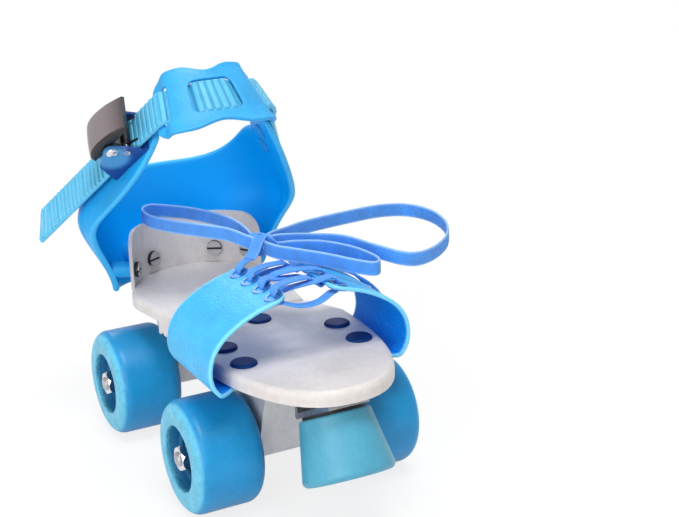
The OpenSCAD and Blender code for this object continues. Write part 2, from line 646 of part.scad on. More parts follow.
pad_half_columns = [slot_near, slot_far - 4, slot_far, pad_reach - 5, pad_reach];
pad_columns = concat([for (k = [4 : -1 : 0]) -pad_half_columns[k]], [for (k = [-3 : 3])
    k * window_half / 3],
    pad_half_columns);
window_r = 7.6;
slot_r = strap_w / 2 + 0.6;
pad_lobe = 1.8;
function pad_edge(d) = mix(pad_half_w - pad_lobe * cos(d * 10), slot_r + 3.4, pow(abs(d) / pad_reach, 3));
function pad_rows(d) = [-pad_edge(d), -slot_r, -window_r, 0, window_r, slot_r, pad_edge(d)];
function pad_grid(h) = [for (d = pad_columns) let (s = arch_mid + d)
    [for (r = pad_rows(d)) on_strap(s, r, pad_lift(s) + h)]];
module strap_pad() color("deepskyblue") {
    m = len(pad_columns) - 1;
    sheet(pad_grid(pad_t / 2), pad_grid(-pad_t / 2), function (i, j) let (k = min(i, m - 1 - i))
        k >= 5 ? j == 2 || j == 3 : k >= 2 && k <= 3 && j >= 1 && j <= 4);
}

// Buckle on the right arm, drawn in the arm's own plane: x up the strap, z off the arm

module at_buckle() {
    p = buckle_at;
    multmatrix([[strap_up.x, strap_side.x, arm_out.x, p.x], [strap_up.y, strap_side.y, arm_out.y, p.y],
        [strap_up.z, strap_side.z, arm_out.z, p.z], [0, 0, 0, 1]]) children();
}
base_t = 1.4;
base_gap = 0.1;
base_back = -9;
base_front = 19;
ear_in = strap_w / 2 + 0.7;
ear_t = 1.5;
ear_heel = [-0.5, 10.4];
lever_pin = [8, 13.8];
lever_boss_r = 4.2;
pawl_pin_at = [12, 8.4];
base_rivets = [[-1, 0], [14, 0]];
base_rivet_d = 4;
module buckle_base() color("slategray") at_buckle() difference() {
    union() {
        translate([base_back, -ear_in - ear_t, base_gap]) cube([base_front - base_back,
            2 * (ear_in + ear_t), base_t]);
        for (s = [-1, 1]) translate([0, s * (ear_in + ear_t / 2), 0]) side_view(ear_t) hull() {
            translate([base_back, base_gap]) square([base_front - base_back - 2, base_t]);
            translate(ear_heel) circle(r = 4.4);
            translate(lever_pin) circle(r = lever_boss_r);
            translate(pawl_pin_at) circle(d = pin_d + 2.6);
        }
    }
    for (p = [lever_pin, pawl_pin_at]) pin_bore(p, seat_c);
    for (q = base_rivets) translate([q.x, q.y, -1]) cylinder(d = base_rivet_d + 2 * seat_c, h = base_t + 3);
}
module pin_bore(p, c) translate([p.x, 0, p.y]) rotate([90, 0, 0])
    cylinder(d = pin_d + 2 * c, h = 60, center = true);
module buckle_rivets() color("silver") at_buckle() for (q = base_rivets) translate([q.x, q.y, 0]) {
    translate([0, 0, -shell_t - 0.6]) cylinder(d = base_rivet_d, h = shell_t + 0.6 + base_t + 0.2);
    translate([0, 0, base_t + 0.1 + seat_c]) cylinder(d = 7, h = 0.5);
    translate([0, 0, -shell_t - 1.4]) cylinder(d = 8, h = 1.3);
}
module cross_pin(p, head_d) translate([p.x, 0, p.y]) rotate([90, 0, 0]) {
    cylinder(d = pin_d, h = 2 * (ear_in + ear_t) + 1, center = true);
    for (s = [0, 1]) mirror([0, 0, s]) translate([0, 0, ear_in + ear_t + seat_c])
        cylinder(d = head_d, h = pin_head_h);
}
pin_head_h = 0.9;
module buckle_pin() color("silver") at_buckle() cross_pin(lever_pin, pin_d + 2.6);
module pawl_pin() color("silver") at_buckle() cross_pin(pawl_pin_at, pin_d + 0.6);

// Crowned lever: its line runs from the lower end over the pin to the upper end, and its side
// walls reach down to the pin
lever_half = ear_in - 0.6;
lever_wall = 1.8;
lever_t = 2.1;
lever_line = [[-0.4, 0.112], [-0.365, 0.19], [-0.228, 0.267], [0, 0.298], [0.281, 0.267], [0.474, 0.211],
    [0.618, 0.154]];
lever_skirt = [[0.582, 0.084], [0.316, 0.063], [-0.21, 0.056], [-0.372, 0.077]];
function lever_points(p) = [for (q = p) lever_pin + lever_len * q];
lever_top = curve(lever_points(lever_line), 5);
module lever_crown() polygon(let (n = len(lever_top) - 1) concat(lever_top, [for (i = [n : -1 : 0])
    let (e = unit(lever_top[min(i + 1, n)] - lever_top[max(i - 1, 0)]))
        lever_top[i] + lever_t * [e.y, -e.x]]));
module lever_side() {
    translate(lever_pin) circle(r = lever_boss_r);
    polygon(concat(lever_top, lever_points(lever_skirt)));
}
module buckle_lever() color("black") at_buckle() difference() {
    union() {
        side_view(2 * lever_half) lever_crown();
        for (s = [-1, 1]) translate([0, s * (lever_half - lever_wall / 2), 0]) side_view(lever_wall)
            lever_side();
    }
    pin_bore(lever_pin, run_c);
}

pawl_half = 6;
module ratchet_pawl() color("silver") at_buckle() difference() {
    side_view(2 * pawl_half) {
        translate(pawl_pin_at) circle(r = 2.6, $fn = 48);
        hull() {
            translate(pawl_pin_at + [0, 0.6]) circle(r = 1.8, $fn = 32);
            translate(pawl_pin_at + [-7, -0.6]) circle(r = 1, $fn = 32);
        }
        translate(pawl_pin_at + [-7, -0.6]) polygon([[-1, -1.95], [-0.5, -1.95], [1, 0], [-1, 0]]);
    }
    pin_bore(pawl_pin_at, run_c);
}
// Bent wire that presses the pawl down, hooked round its pin beside the pawl
spring_w = 1.4;
module pawl_spring() color("silver") at_buckle() for (s = [-1, 1])
    translate([0, s * (pawl_half + spring_w / 2 + 0.2), 0]) {
    translate([pawl_pin_at.x, 0, pawl_pin_at.y]) rotate([90, 0, 0]) difference() {
        cylinder(r = pin_d / 2 + 0.9, h = spring_w, center = true);
        cylinder(r = pin_d / 2 + seat_c, h = 3, center = true);
    }
    side_view(0.8) hull() {
        translate(pawl_pin_at + [2, -1.4]) circle(d = 0.8, $fn = 24);
        translate(pawl_pin_at + [6.2, -2.6]) circle(d = 0.8, $fn = 24);
    }
}

// Toe stop on its ramp under the nose

stop_tilt = 27;
stop_at = [front_x + 44.5, -16];
stop_hole = 8;
bracket_t = 2.5;
bracket_w = 20;
module at_stop() translate([stop_at.x, 0, stop_at.y]) rotate([0, -stop_tilt, 0]) children();
ramp_back = 20;
ramp_front = 17;
module toe_stop_bracket() color("darkgray") difference() {
    side_view(bracket_w) {
        translate(stop_at) rotate(stop_tilt) translate([-ramp_back, -bracket_t])
            square([ramp_back + ramp_front, bracket_t]);
        nose = stop_at + (ramp_front - bracket_t / 2) * [cos(stop_tilt), sin(stop_tilt)];
        translate([nose.x - bracket_t, nose.y - 2]) square([bracket_t, -deck_t - seat_c - nose.y + 2]);
        translate([nose.x - 9, -deck_t - seat_c - bracket_t]) square([9, bracket_t]);
        foot = stop_at - (ramp_back - bracket_t / 2) * [cos(stop_tilt), sin(stop_tilt)];
        translate([foot.x - 1, foot.y - 2]) square([bracket_t, -deck_t - seat_c - foot.y + 2]);
        translate([foot.x - 1, -deck_t - seat_c - bracket_t]) square([9, bracket_t]);
    }
    at_stop() translate([0, 0, -bracket_t - 1]) cylinder(d = stop_hole + 0.2, h = bracket_t + 2);
}
stop_washer_t = 1.4;
module toe_stop_washer() color("black") at_stop() translate([0, 0, -bracket_t - seat_c - stop_washer_t])
    difference() {
    cylinder(d = stop_top_d - 4, h = stop_washer_t);
    translate([0, 0, -1]) cylinder(d = stop_hole + 0.2, h = stop_washer_t + 2);
}
stop_top = -bracket_t - 2 * seat_c - stop_washer_t;
module toe_stop() color("paleturquoise") at_stop() rotate_extrude($fn = 72)
    polygon([[stop_hole / 2 + seat_c, stop_top],
    [stop_top_d / 2 - 1, stop_top], [stop_top_d / 2, stop_top - 1], [stop_foot_d / 2,
        stop_top - stop_h + 3],
    [stop_foot_d / 2 - 0.8, stop_top - stop_h + 0.8], [stop_foot_d / 2 - 3, stop_top - stop_h],
    [stop_hole + 1, stop_top - stop_h], [stop_hole + 1, stop_top - stop_h + 9], [stop_hole / 2 + seat_c,
        stop_top - stop_h + 9]]);
module toe_stop_bolt() color("silver") at_stop() {
    translate([0, 0, stop_top - stop_h + 9 - seat_c]) mirror([0, 0, 1]) cylinder(d = 14, h = 5);
    translate([0, 0, stop_top - stop_h + 8]) cylinder(d = stop_hole, h = stop_h - stop_top - 1.4);
}
module toe_stop_nut() color("silver") at_stop() translate([0, 0, seat_c]) difference() {
    cylinder(d = nut_d(13), h = 6, $fn = 6);
    translate([0, 0, -1]) cylinder(d = stop_hole + 2 * seat_c, h = 8);
}

// Toe flaps: bent sheets that start under the deck, turn round its rim and arch over the foot

flap_x = front_x - 23;
flap_tab = [front_x - 13, front_x + 22];
flap_top_y = 11;
flap_top_z = 31.5;
flap_tilt = 16.7;
flap_under = -deck_t - 0.07 - flap_t / 2;
flap_dip = -rim_h - lie_c - flap_t / 2;
flap_flat = [for (y = [-5.8, -1.8, 1.2, 2.6, 3.4]) [flap_rivet_y + y, flap_under]];
flap_bend = [[-9.5, -0.14], [-8.85, -0.52], [-8.3, -1.15], [-7.7, -2.3], [-7, -3.6], [-6.2, -4.7]];
flap_arch = [[5.8, -3], [6.7, 3.5], [4.8, 11], [-0.2, 17.6], [-8.4, 23.2], [-16.8, 27]];
flap_row = concat(flap_flat, [for (q = flap_bend) [toe_half_w + q.x, flap_under + q.y]],
    [for (q = [[-5, -0.4], [-3.2, -0.9], [-0.8, -0.9], [2.6, -0.1]]) [toe_half_w + q.x, flap_dip + q.y]],
    [for (q = flap_arch) [toe_half_w + q.x, q.y]],
    [for (k = [10, 5, 0]) [flap_top_y + k * cos(flap_tilt), flap_top_z - k * sin(flap_tilt)]]);
module flap_shape() polygon(let (m = curve(flap_row, 4), n = len(m) - 1,
    way = [for (i = [0 : n]) let (e = unit(m[min(i + 1, n)] - m[max(i - 1, 0)])) [e.y, -e.x]])
    concat([for (i = [0 : n]) m[i] + flap_t / 2 * way[i]], [for (i = [n : -1 : 0])
        m[i] - flap_t / 2 * way[i]]));
eyelet_step = 12.5;
eyelet_first = front_x - 15;
eyelet_edge = 5;
module at_eyelet(k) translate([eyelet_first + k * eyelet_step, flap_top_y + eyelet_edge * cos(flap_tilt),
    flap_top_z - eyelet_edge * sin(flap_tilt)]) rotate([-flap_tilt, 0, 0]) children();
eyelet_wall = 0.5;
module flap() difference() {
    translate([flap_x, 0, 0]) rotate([90, 0, 90]) linear_extrude(flap_len) flap_shape();
    for (k = [0 : 3]) at_eyelet(k)
        translate([0, 0, -4]) cylinder(d = eyelet_d + 2 * eyelet_wall + 2 * seat_c, h = 8);
    for (s = flap_rivet_spots) if (s.y > 0) translate([s.x, s.y, -6])
        cylinder(d = flap_rivet_shank + 2 * seat_c, h = 8);
    for (x = [flap_x - 1, flap_tab[1]]) translate([x, 0, -40])
        cube([x < flap_tab[0] ? flap_tab[0] - x : flap_len, 41, 40]);
    for (x = [flap_x, flap_x + flap_len]) translate([x, flap_top_y, flap_top_z]) rotate([-flap_tilt, 0, 0])
        rotate([0, 0, 45]) cube([6, 6, 8], center = true);
}
module toe_flap_left() color("lightskyblue") flap();
module toe_flap_right() color("lightskyblue") mirror([0, 1, 0]) flap();
module lace_eyelets() color("steelblue") for (s = [0, 1]) mirror([0, s, 0]) for (k = [0 : 3]) at_eyelet(k)
    rotate_extrude() translate([eyelet_d / 2, 0]) polygon(let (e = flap_t / 2 + seat_c) [[0, -e - 0.4],
        [2.2, -e - 0.4], [2.2, -e],
        [eyelet_wall, -e], [eyelet_wall, e], [2.2, e], [1.9, e + 0.5], [0.3, e + 0.5], [0, e + 0.2]]);

flap_stack = flap_under - flap_t / 2 - seat_c;
module flap_rivets() color("midnightblue") for (s = flap_rivet_spots)
    deck_rivet(s.x, s.y, flap_stack - washer_t - 2 * seat_c, flap_rivet_d, 1.4);
module flap_washers() color("silver") for (s = flap_rivet_spots)
    translate([s.x, s.y, flap_stack - washer_t]) difference() {
    cylinder(d = flap_rivet_shank + 2, h = washer_t);
    translate([0, 0, -1]) cylinder(d = flap_rivet_shank + 2 * seat_c, h = washer_t + 2);
}

// Flat woven lace: its points are set by hand, from the front axle. The width lies along the given way.

lace_w = 7;
lace_t = 1.2;
lace_laced_w = 5;
lace_bevel = 0.6;
function lace_section(a, h) = [[-a, -h / 2], [lace_bevel - a, -h], [a - lace_bevel, -h], [a, -h / 2], [a,
    h / 2],
    [a - lace_bevel, h], [lace_bevel - a, h], [-a, h / 2]];
function lace_ring(p, w, side, t) = let (x = unit(side - (side * w) * w), y = cross(w, x))
    [for (q = lace_section(t / 2, lace_t / 2)) p + q.x * x + q.y * y];
function way_at(p, i) = unit(p[min(i + 1, len(p) - 1)] - p[max(i - 1, 0)]);
module band(p, side, widths) loft([for (i = [0 : len(p) - 1])
    lace_ring(p[i], way_at(p, i), side, is_list(widths) ? widths[i] : widths)]);

// One eyelet to the next: under the flap, up through it, back over the edge and across the gap
hop_up = [[0.3, 12.2, 27.6], [0.1, 15.2, 28.1], [0, 15.8, 30.1], [-0.2, 15.9, 32.7]];
over_hop = concat(hop_up, [[-2.2, 13.4, 34.6], [-5.2, 6, 34.9], [-6.25, 0, 34.7], [-7.6, -5.5, 33.6]]);
under_hop = concat(hop_up, [[-2.2, 13.4, 34.4], [-4.8, 7.4, 32.6], [-6.25, 0, 31.6], [-7.8, -6.4, 30.4]]);
last_x = eyelet_first + 3 * eyelet_step;
function hops(h, s) = [for (k = [0 : 3], q = h) if (k < 3 || q.y > 10)
    [last_x - k * eyelet_step + q.x, s * (k % 2 == 0 ? 1 : -1) * q.y, q.z]];
function back(p) = [for (i = [len(p) - 1 : -1 : 0]) p[i]];
bridge = [for (q = [[-6, 25.4], [0, 24.6], [6, 25.4]]) [last_x + 1.7, q.x, q.y]];
lacing_end = [front_x - 18.5, 8.6, 36.6];
lacing = concat([lacing_end], back(hops(over_hop, -1)), bridge, hops(under_hop, 1), [flip(lacing_end)]);
// The lace is drawn together where it goes through an eyelet
lace_eye_w = 3.2;
module lace_lacing() color("cornflowerblue")
    band(lacing, [1, 0, 0], [for (q = lacing) abs(q.y) > 15 && q.z < 32 ? lace_eye_w : lace_laced_w]);

knot_at = [front_x - 24, 0, 39];
knot_half = [5.5, 6, 5.6];
module lace_knot() color("cornflowerblue") loft([for (k = [-4 : 4]) let (f = sqrt(1.06 - k * k / 16))
    [for (a = [0 : 30 : 330]) knot_at + [knot_half.x * f * sin(a), k * knot_half.y / 4,
        knot_half.z * f * cos(a)]]]);

heel_loop = [[-30.5, -2, 41], [-43, -1, 42], [-65, 1, 40], [-89, 0.5, 37.2], [-111, -3, 34.6],
    [-127, -8, 32.6], [-134, -13, 32.3], [-133, -18, 32.3], [-125, -22, 32.8], [-107, -24.5, 34.6],
    [-85, -23, 37.6], [-63, -17, 40], [-43, -9, 41.5], [-30.5, -5.4, 41]];
side_loop = [[-27, 7.2, 41], [-31, 16, 40.6], [-39, 32, 39.6], [-47, 58, 38], [-55, 82, 35.5],
    [-55, 99, 33], [-43, 106, 31.4], [-25, 103, 30.4], [-7, 92, 30.4], [7, 77, 31], [15, 63, 32.4],
    [14, 54, 34], [3, 46, 36], [-13, 38, 37.6], [-20, 24, 39], [-22.4, 14, 40], [-23.4, 7.4, 40.4]];
small_loop = [[-20, 7, 37.6], [-17, 14, 38], [-11, 26, 37.4], [1, 35, 36.4], [12, 39.5, 35],
    [19, 39.5, 34.2], [21.5, 35, 34.4], [17, 28, 35.6], [7, 18, 37.6], [-3, 9, 38.6], [-11, 3, 39],
    [-17, 0.6, 39.4]];
module bow_loop(p) color("cornflowerblue") translate([front_x, 0, 0]) band(p, [0, 0, 1], lace_w);
module lace_loop_heel() bow_loop(heel_loop);
module lace_loop_side() bow_loop(side_loop);
module lace_loop_small() bow_loop(small_loop);

// Both ends lie over the left flap and hang down on its outer side
first_end = [[-29, 6.2, 36.5], [-27, 12, 34.8], [-23.5, 17.5, 32.3], [-20.5, 23, 30.4],
    [-18, 28.8, 28.5], [-16, 34.4, 26], [-14.2, 39.6, 23], [-12.7, 44.4, 19.3], [-11.6, 48.4, 14.8],
    [-10.8, 51, 9.4], [-10.4, 52.2, 4.6]];
second_end = [[-23.4, 6.6, 34.4], [-18.5, 12.6, 33.4], [-13, 18, 32.1], [-9.5, 23, 30.4],
    [-7, 28.8, 28.5], [-5, 34.4, 26], [-3.2, 39.6, 23], [-1.8, 44.4, 19.3], [-0.8, 48.4, 14.8],
    [0, 51, 9.4], [0.4, 52.2, 4.6]];
aglet_d = 2.6;
aglet_len = 18;
module lace_ends() color("cornflowerblue") translate([front_x, 0, 0])
    for (p = [first_end, second_end]) band(p, [1, 0, 0], lace_laced_w);
module lace_aglets() color("black") translate([front_x, 0, 0]) for (p = [first_end, second_end]) {
    n = len(p) - 1;
    w = way_at(p, n);
    turn = [0, acos(w.z), atan2(w.y, w.x)];
    translate(p[n] + seat_c * w) rotate(turn) cylinder(d = aglet_d, h = aglet_len, $fn = 24);
}

heel_plate();
slider_guide();
clamp_bolt();
clamp_wing_nut();
rear_truck();
rear_truck_rivets();
rear_axle();
rear_axle_nuts();
rear_axle_washers();
rear_spacers();
rear_bearing_races();
heel_shell();
shell_bolts();
shell_square_washers();
shell_nuts();
ladder_strap();
strap_rivets();
strap_pad();
buckle_base();
buckle_rivets();
buckle_pin();
pawl_pin();
pawl_spring();
buckle_lever();
ratchet_pawl();
toe_plate();
length_slider();
slider_rivet();
front_truck();
front_truck_rivets();
front_axle();
front_axle_nuts();
front_axle_washers();
front_spacers();
front_bearing_races();
toe_stop_bracket();
toe_stop();
toe_stop_washer();
toe_stop_bolt();
toe_stop_nut();
toe_flap_right();
toe_flap_left();
flap_rivets();
flap_washers();
lace_eyelets();
lace_lacing();
lace_knot();
lace_loop_heel();
lace_loop_side();
lace_loop_small();
lace_ends();
lace_aglets();
wheel_rear_right();
wheel_rear_left();
wheel_front_right();
wheel_front_left();
bearings_rear_right();
bearings_rear_left();
bearings_front_right();
bearings_front_left();
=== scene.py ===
"""Dresses the solids of a clip-on roller skate: moulded, woven and sheet pieces, finishes and stage."""

import math

import bpy
import numpy as np
from bpy.props import FloatProperty, FloatVectorProperty, PointerProperty
from mathutils import Matrix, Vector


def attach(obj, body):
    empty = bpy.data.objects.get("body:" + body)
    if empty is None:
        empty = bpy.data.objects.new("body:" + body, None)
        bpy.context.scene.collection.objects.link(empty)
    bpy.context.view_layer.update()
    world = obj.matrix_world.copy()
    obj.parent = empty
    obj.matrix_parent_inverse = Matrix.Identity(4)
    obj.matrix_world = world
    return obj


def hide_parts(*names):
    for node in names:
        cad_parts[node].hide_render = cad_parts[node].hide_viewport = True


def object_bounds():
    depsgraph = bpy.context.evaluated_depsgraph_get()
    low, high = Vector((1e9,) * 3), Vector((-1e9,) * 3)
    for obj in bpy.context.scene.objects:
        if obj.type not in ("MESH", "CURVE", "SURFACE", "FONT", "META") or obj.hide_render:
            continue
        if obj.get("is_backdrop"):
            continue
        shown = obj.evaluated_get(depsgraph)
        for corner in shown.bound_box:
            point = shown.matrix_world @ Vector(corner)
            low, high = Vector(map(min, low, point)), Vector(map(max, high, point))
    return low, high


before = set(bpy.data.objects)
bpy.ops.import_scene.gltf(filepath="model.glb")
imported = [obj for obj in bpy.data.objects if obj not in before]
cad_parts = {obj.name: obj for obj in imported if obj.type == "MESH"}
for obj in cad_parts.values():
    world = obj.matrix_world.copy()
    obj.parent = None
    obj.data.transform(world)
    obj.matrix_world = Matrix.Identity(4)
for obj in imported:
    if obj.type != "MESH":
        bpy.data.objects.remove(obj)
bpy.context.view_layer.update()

bl_info = {
    "name": "Clip-on roller skate",
    "version": (1, 0, 0),
    "blender": (4, 5, 0),
    "location": "3D View > Sidebar > Skate",
    "description": "Builds the dressed pieces and finishes of a clip-on roller skate over its solids",
    "category": "Object",
}

MM = 0.001
ALONG, ACROSS, UP = np.eye(3)
FLIP = np.array([1.0, -1.0, 1.0])


def linear(red, green, blue):
    """Linear colour of a display colour given from 0 to 255: the display curve undone."""
    c = np.array([red, green, blue]) / 255
    return tuple(float(x) for x in np.where(c <= 0.04045, c / 12.92, ((c + 0.055) / 1.055) ** 2.4))


def size(name, description, default):
    """A length property in metres whose default is given in millimetres."""
    return FloatProperty(name=name, description=description, default=default * MM, unit="LENGTH", precision=4)


def tint(name, description, *rgb):
    """A colour property whose default is given as a display colour."""
    return FloatVectorProperty(
        name=name, description=description, default=linear(*rgb), subtype="COLOR", size=3, min=0, max=1
    )


class SkateSizes(bpy.types.PropertyGroup):
    """Sizes of the dressed pieces"""

    wheel_d: size("Wheel diameter", "Diameter of the tread", 54)
    wheel_w: size("Wheel width", "Width over both faces of a wheel", 33.4)
    shoulder_r: size("Shoulder", "Rounding between the tread and the side of a wheel", 6)
    shell_t: size("Shell wall", "Wall of the moulded heel shell", 3)
    strap_w: size("Strap width", "Width of the ankle strap", 19)
    strap_t: size("Strap thickness", "Thickness of the strap between its ribs", 1.6)
    rib_h: size("Rib height", "Height of the strap's ribs", 1)
    rib_pitch: size("Rib pitch", "Distance from one rib to the next", 3.5)
    pad_t: size("Pad thickness", "Thickness of the instep pad", 1.8)
    pad_half_w: size("Pad half width", "Half width of the instep pad at its lobes", 19)
    flap_t: size("Flap thickness", "Thickness of the toe flaps", 1.8)
    lace_w: size("Lace width", "Width of the flat lace", 7)
    lace_t: size("Lace thickness", "Thickness of the flat lace", 1.2)


class SkateColours(bpy.types.PropertyGroup):
    """Colours of the finishes"""

    shell: tint("Shell", "Outer face of the moulded heel shell", 32, 158, 226)
    # Painted shade: the shell's inner face gets a deeper, more saturated blue than its outer face, standing
    # in for the shaded, blue-lit inside of the cup.
    shell_inside_shade: tint("Shell inside", "Inner face of the heel shell", 0, 174, 254)
    pad: tint("Pad", "Instep pad", 50, 164, 226)
    strap: tint("Strap", "Ankle strap", 86, 184, 222)
    flap: tint("Flap", "Outer face of the toe flaps", 66, 182, 238)
    # Painted shade: a deeper blue for the flaps' inner faces, standing in for the shade under them.
    flap_inside_shade: tint("Flap inside", "Inner face of the toe flaps", 0, 134, 236)
    wheel: tint("Wheel", "Wheel tread", 26, 142, 200)
    wheel_side: tint("Wheel side", "Pebbled side of the wheels", 96, 188, 220)
    stop: tint("Toe stop", "Toe stop", 74, 158, 186)
    lace: tint("Lace", "Woven lace", 34, 142, 244)
    lace_edge: tint("Lace edge", "Selvedge of the lace", 150, 196, 248)
    deck: tint("Deck", "Enamel of the decks", 218, 212, 209)
    rivet: tint("Rivet", "Heads of the deck rivets", 8, 52, 112)
    lever: tint("Lever", "Buckle lever", 24, 20, 22)


def mm(*names):
    """Sizes of the skate by their names, in millimetres."""
    return [getattr(bpy.context.scene.skate_sizes, name) / MM for name in names]


def colours():
    """Colours of the skate."""
    return bpy.context.scene.skate_colours


# Shapes in millimetres, worked out as whole arrays


def unit(v):
    """Vectors divided by their lengths."""
    return v / np.linalg.norm(v, axis=-1, keepdims=True)


def square_to(v, way):
    """Unit vectors left of v when its part along the unit vectors of a way is taken out."""
    return unit(v - np.sum(v * way, -1, keepdims=True) * way)


def right_of(line):
    """Unit vectors to the right of a line of points in a plane."""
    e = unit(np.gradient(line, axis=0))
    return np.stack([e[:, 1], -e[:, 0]], -1)


def mix(a, b, f):
    """Straight blend from a to b."""
    return a + (b - a) * f


def ease(f):
    """Smooth step from 0 to 1: three times the square less twice the cube."""
    g = np.clip(f, 0, 1)
    return g * g * (3 - 2 * g)


def soft_min(a, b, k):
    """Rounded smaller value: minus k times the log of the summed exponentials of minus a and b over k."""
    return -k * np.log(np.exp(-a / k) + np.exp(-b / k))


def through(points, n):
    """Catmull-Rom curve, n steps a span: a cubic that leaves each point along the chord of its neighbours."""
    p = np.asarray(points, float)
    q = np.vstack([p[:1], p, p[-1:]])
    f = (np.arange(n) / n)[None, :, None]
    a, b, c, d = (q[i : len(p) - 1 + i, None, :] for i in range(4))
    span = 2 * b + (c - a) * f + (2 * a - 5 * b + 4 * c - d) * f**2 + (3 * b - a - 3 * c + d) * f**3
    return np.vstack([0.5 * span.reshape(-1, p.shape[1]), p[-1:]])


def run_along(line):
    """Length of a line of points up to each point: the running sum of its steps."""
    return np.concatenate([[0], np.cumsum(np.linalg.norm(np.diff(line, axis=0), axis=1))])


def arc(centre, radius, start, end, n):
    """Arc in degrees: centre + radius (cos a, sin a), the radius one value or one for each axis."""
    a = np.radians(np.linspace(start, end, n))
    return np.asarray(centre) + np.multiply(radius, np.stack([np.cos(a), np.sin(a)], -1))


def squared_oval(n):
    """Squared oval from -1 to 1: |cos|^0.3 across and |sin|^0.7 over, each with its sign."""
    a = np.linspace(0, 2 * math.pi, n, endpoint=False)
    return [np.sign(v) * np.abs(v) ** power for v, power in ((np.cos(a), 0.3), (np.sin(a), 0.7))]


STRIP_TURN = 9


def strip(length, thick, end_r, steps):
    """Outlines of flat strips with rounded ends: w up each strip's length by e through its thickness, from
    the face at 0 round the near end, along the other face, round the far end and back."""
    bend = np.radians(np.linspace(90, 270, STRIP_TURN))
    end, e = end_r * (1 + np.cos(bend)), thick / 2 * (1 - np.sin(bend))
    long = length[:, None]
    straight = end_r + np.linspace(0, 1, steps + 2)[1:-1] * (long - 2 * end_r)
    w = np.hstack([np.broadcast_to(end, (len(long), STRIP_TURN)), straight, long - end, straight[:, ::-1]])
    return w, np.concatenate([e, np.full(steps, thick), e[::-1], np.zeros(steps)])


def tipped(rings, steps):
    """Rings with a rounded tip: the last one drawn to its middle by shares while it moves on."""
    last = rings[-1]
    way = unit(last - rings[-2]).mean(0)
    middle = last.mean(0)
    tip = [middle + (last - middle) * share + reach * way for share, reach in steps]
    return np.concatenate([rings, tip])


def outward(points, quads, caps):
    """Skin with its faces outwards: the winding is turned where the enclosed volume comes out negative."""
    p = points - points.mean(0)
    a, b, c, d = (p[quads[:, k]] for k in range(4))
    volume = np.sum(a * np.cross(b, c)) + np.sum(a * np.cross(c, d))
    for cap in caps:
        volume += np.sum(p[cap[0]] * np.cross(p[cap[1:-1]], p[cap[2:]]))
    if volume < 0:
        quads, caps = quads[:, ::-1], [cap[::-1] for cap in caps]
    return points, quads, caps


def solid(rings, loop=False):
    """Closed skin over rings of points: quads from ring to ring, and a flat cap on each end unless the
    rings close on themselves."""
    m, n = rings.shape[:2]
    i, j = np.meshgrid(np.arange(m if loop else m - 1), np.arange(n), indexing="ij")
    up, on = (i + 1) % m, (j + 1) % n
    quads = np.stack([i * n + j, up * n + j, up * n + on, i * n + on], -1).reshape(-1, 4)
    caps = [] if loop else [np.arange(n)[::-1], (m - 1) * n + np.arange(n)]
    return outward(rings.reshape(-1, 3), quads, caps)


def turned(profile, n, at, ax, ay, az, loop=False):
    """Lathe skin: a profile point (r, h) runs round as at + r (cos a ax + sin a ay) + h az."""
    r, h = np.asarray(profile, float).T[:, :, None, None]
    a = np.linspace(0, 2 * math.pi, n, endpoint=False)[None, :, None]
    return solid(at + r * (np.cos(a) * ax + np.sin(a) * ay) + h * az, loop)


finishes = {}


def piece(name, parts, body, node, slot, sharp=38, finish=None):
    """Object at the origin from the parts' points, quads and caps, riding on its body in place of a solid.
    Its finish is that of its slot unless another one is named."""
    starts = np.cumsum([0] + [len(points) for points, _, _ in parts])
    faces = []
    for (_, quads, caps), start in zip(parts, starts):
        faces += (quads + start).tolist() + [(cap + start).tolist() for cap in caps]
    mesh = bpy.data.meshes.new(name)
    mesh.from_pydata((np.vstack([points for points, _, _ in parts]) * MM).tolist(), [], faces)
    mesh.shade_smooth()
    mesh.set_sharp_from_angle(angle=math.radians(sharp))
    mesh.materials.append(finishes[finish or slot])
    obj = bpy.data.objects.new(name, mesh)
    bpy.context.scene.collection.objects.link(obj)
    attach(obj, body)
    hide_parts(node)
    return obj


def filled(obj, values):
    """Values for each point of a mesh, nought on the points past those given."""
    full = np.zeros((len(obj.data.vertices), *values.shape[1:]), np.float32)
    full[: len(values)] = values
    return full


def give_uv(obj, uv):
    """UV map from one pair of values for each point."""
    layer = obj.data.uv_layers.new(name="run")
    index = np.zeros(len(obj.data.loops), np.int32)
    obj.data.loops.foreach_get("vertex_index", index)
    layer.data.foreach_set("uv", filled(obj, uv)[index].ravel())


def give_value(obj, name, values):
    """Named value for each point of a mesh."""
    layer = obj.data.attributes.new(name, "FLOAT", "POINT")
    layer.data.foreach_set("value", filled(obj, values.ravel()))


# Finishes

VECTOR, VALUE, COLOUR = "NodeSocketVector", "NodeSocketFloat", "NodeSocketColor"
STREAKS = (40, 190, 90)
# Painted highlight along the shell's rim and the flaps' edges, and painted shade in the strap's grooves.
RIM_HIGHLIGHT, GROOVE_SHADE, EDGE_HIGHLIGHT = linear(84, 196, 248), linear(40, 138, 186), linear(132, 220, 248)
# Painted sheen on the top of the buckle lever, and painted shade in the wheels' recesses.
CROWN_SHEEN, RECESS_SHADE = linear(136, 124, 128), linear(10, 80, 122)
# The buckle ears' own paler blue, and painted shade, near black, in the slots and behind the faces of the
# shell bolts' heads.
EAR_TINT, BOLT_SLOT_SHADE = linear(82, 154, 206), linear(34, 33, 36)


def fed(tree, kind, *values, **settings):
    """New node with its settings, its inputs in order fed from sockets or set to plain values."""
    node = tree.nodes.new(kind)
    for key, x in settings.items():
        setattr(node, key, x)
    for value, socket in zip(values, node.inputs):
        if isinstance(value, bpy.types.NodeSocket):
            tree.links.new(value, socket)
        elif value is not None:
            socket.default_value = value
    return node


def maths(tree, operation, *values):
    """Result of a Math node on sockets or numbers."""
    return fed(tree, "ShaderNodeMath", *values, operation=operation).outputs[0]


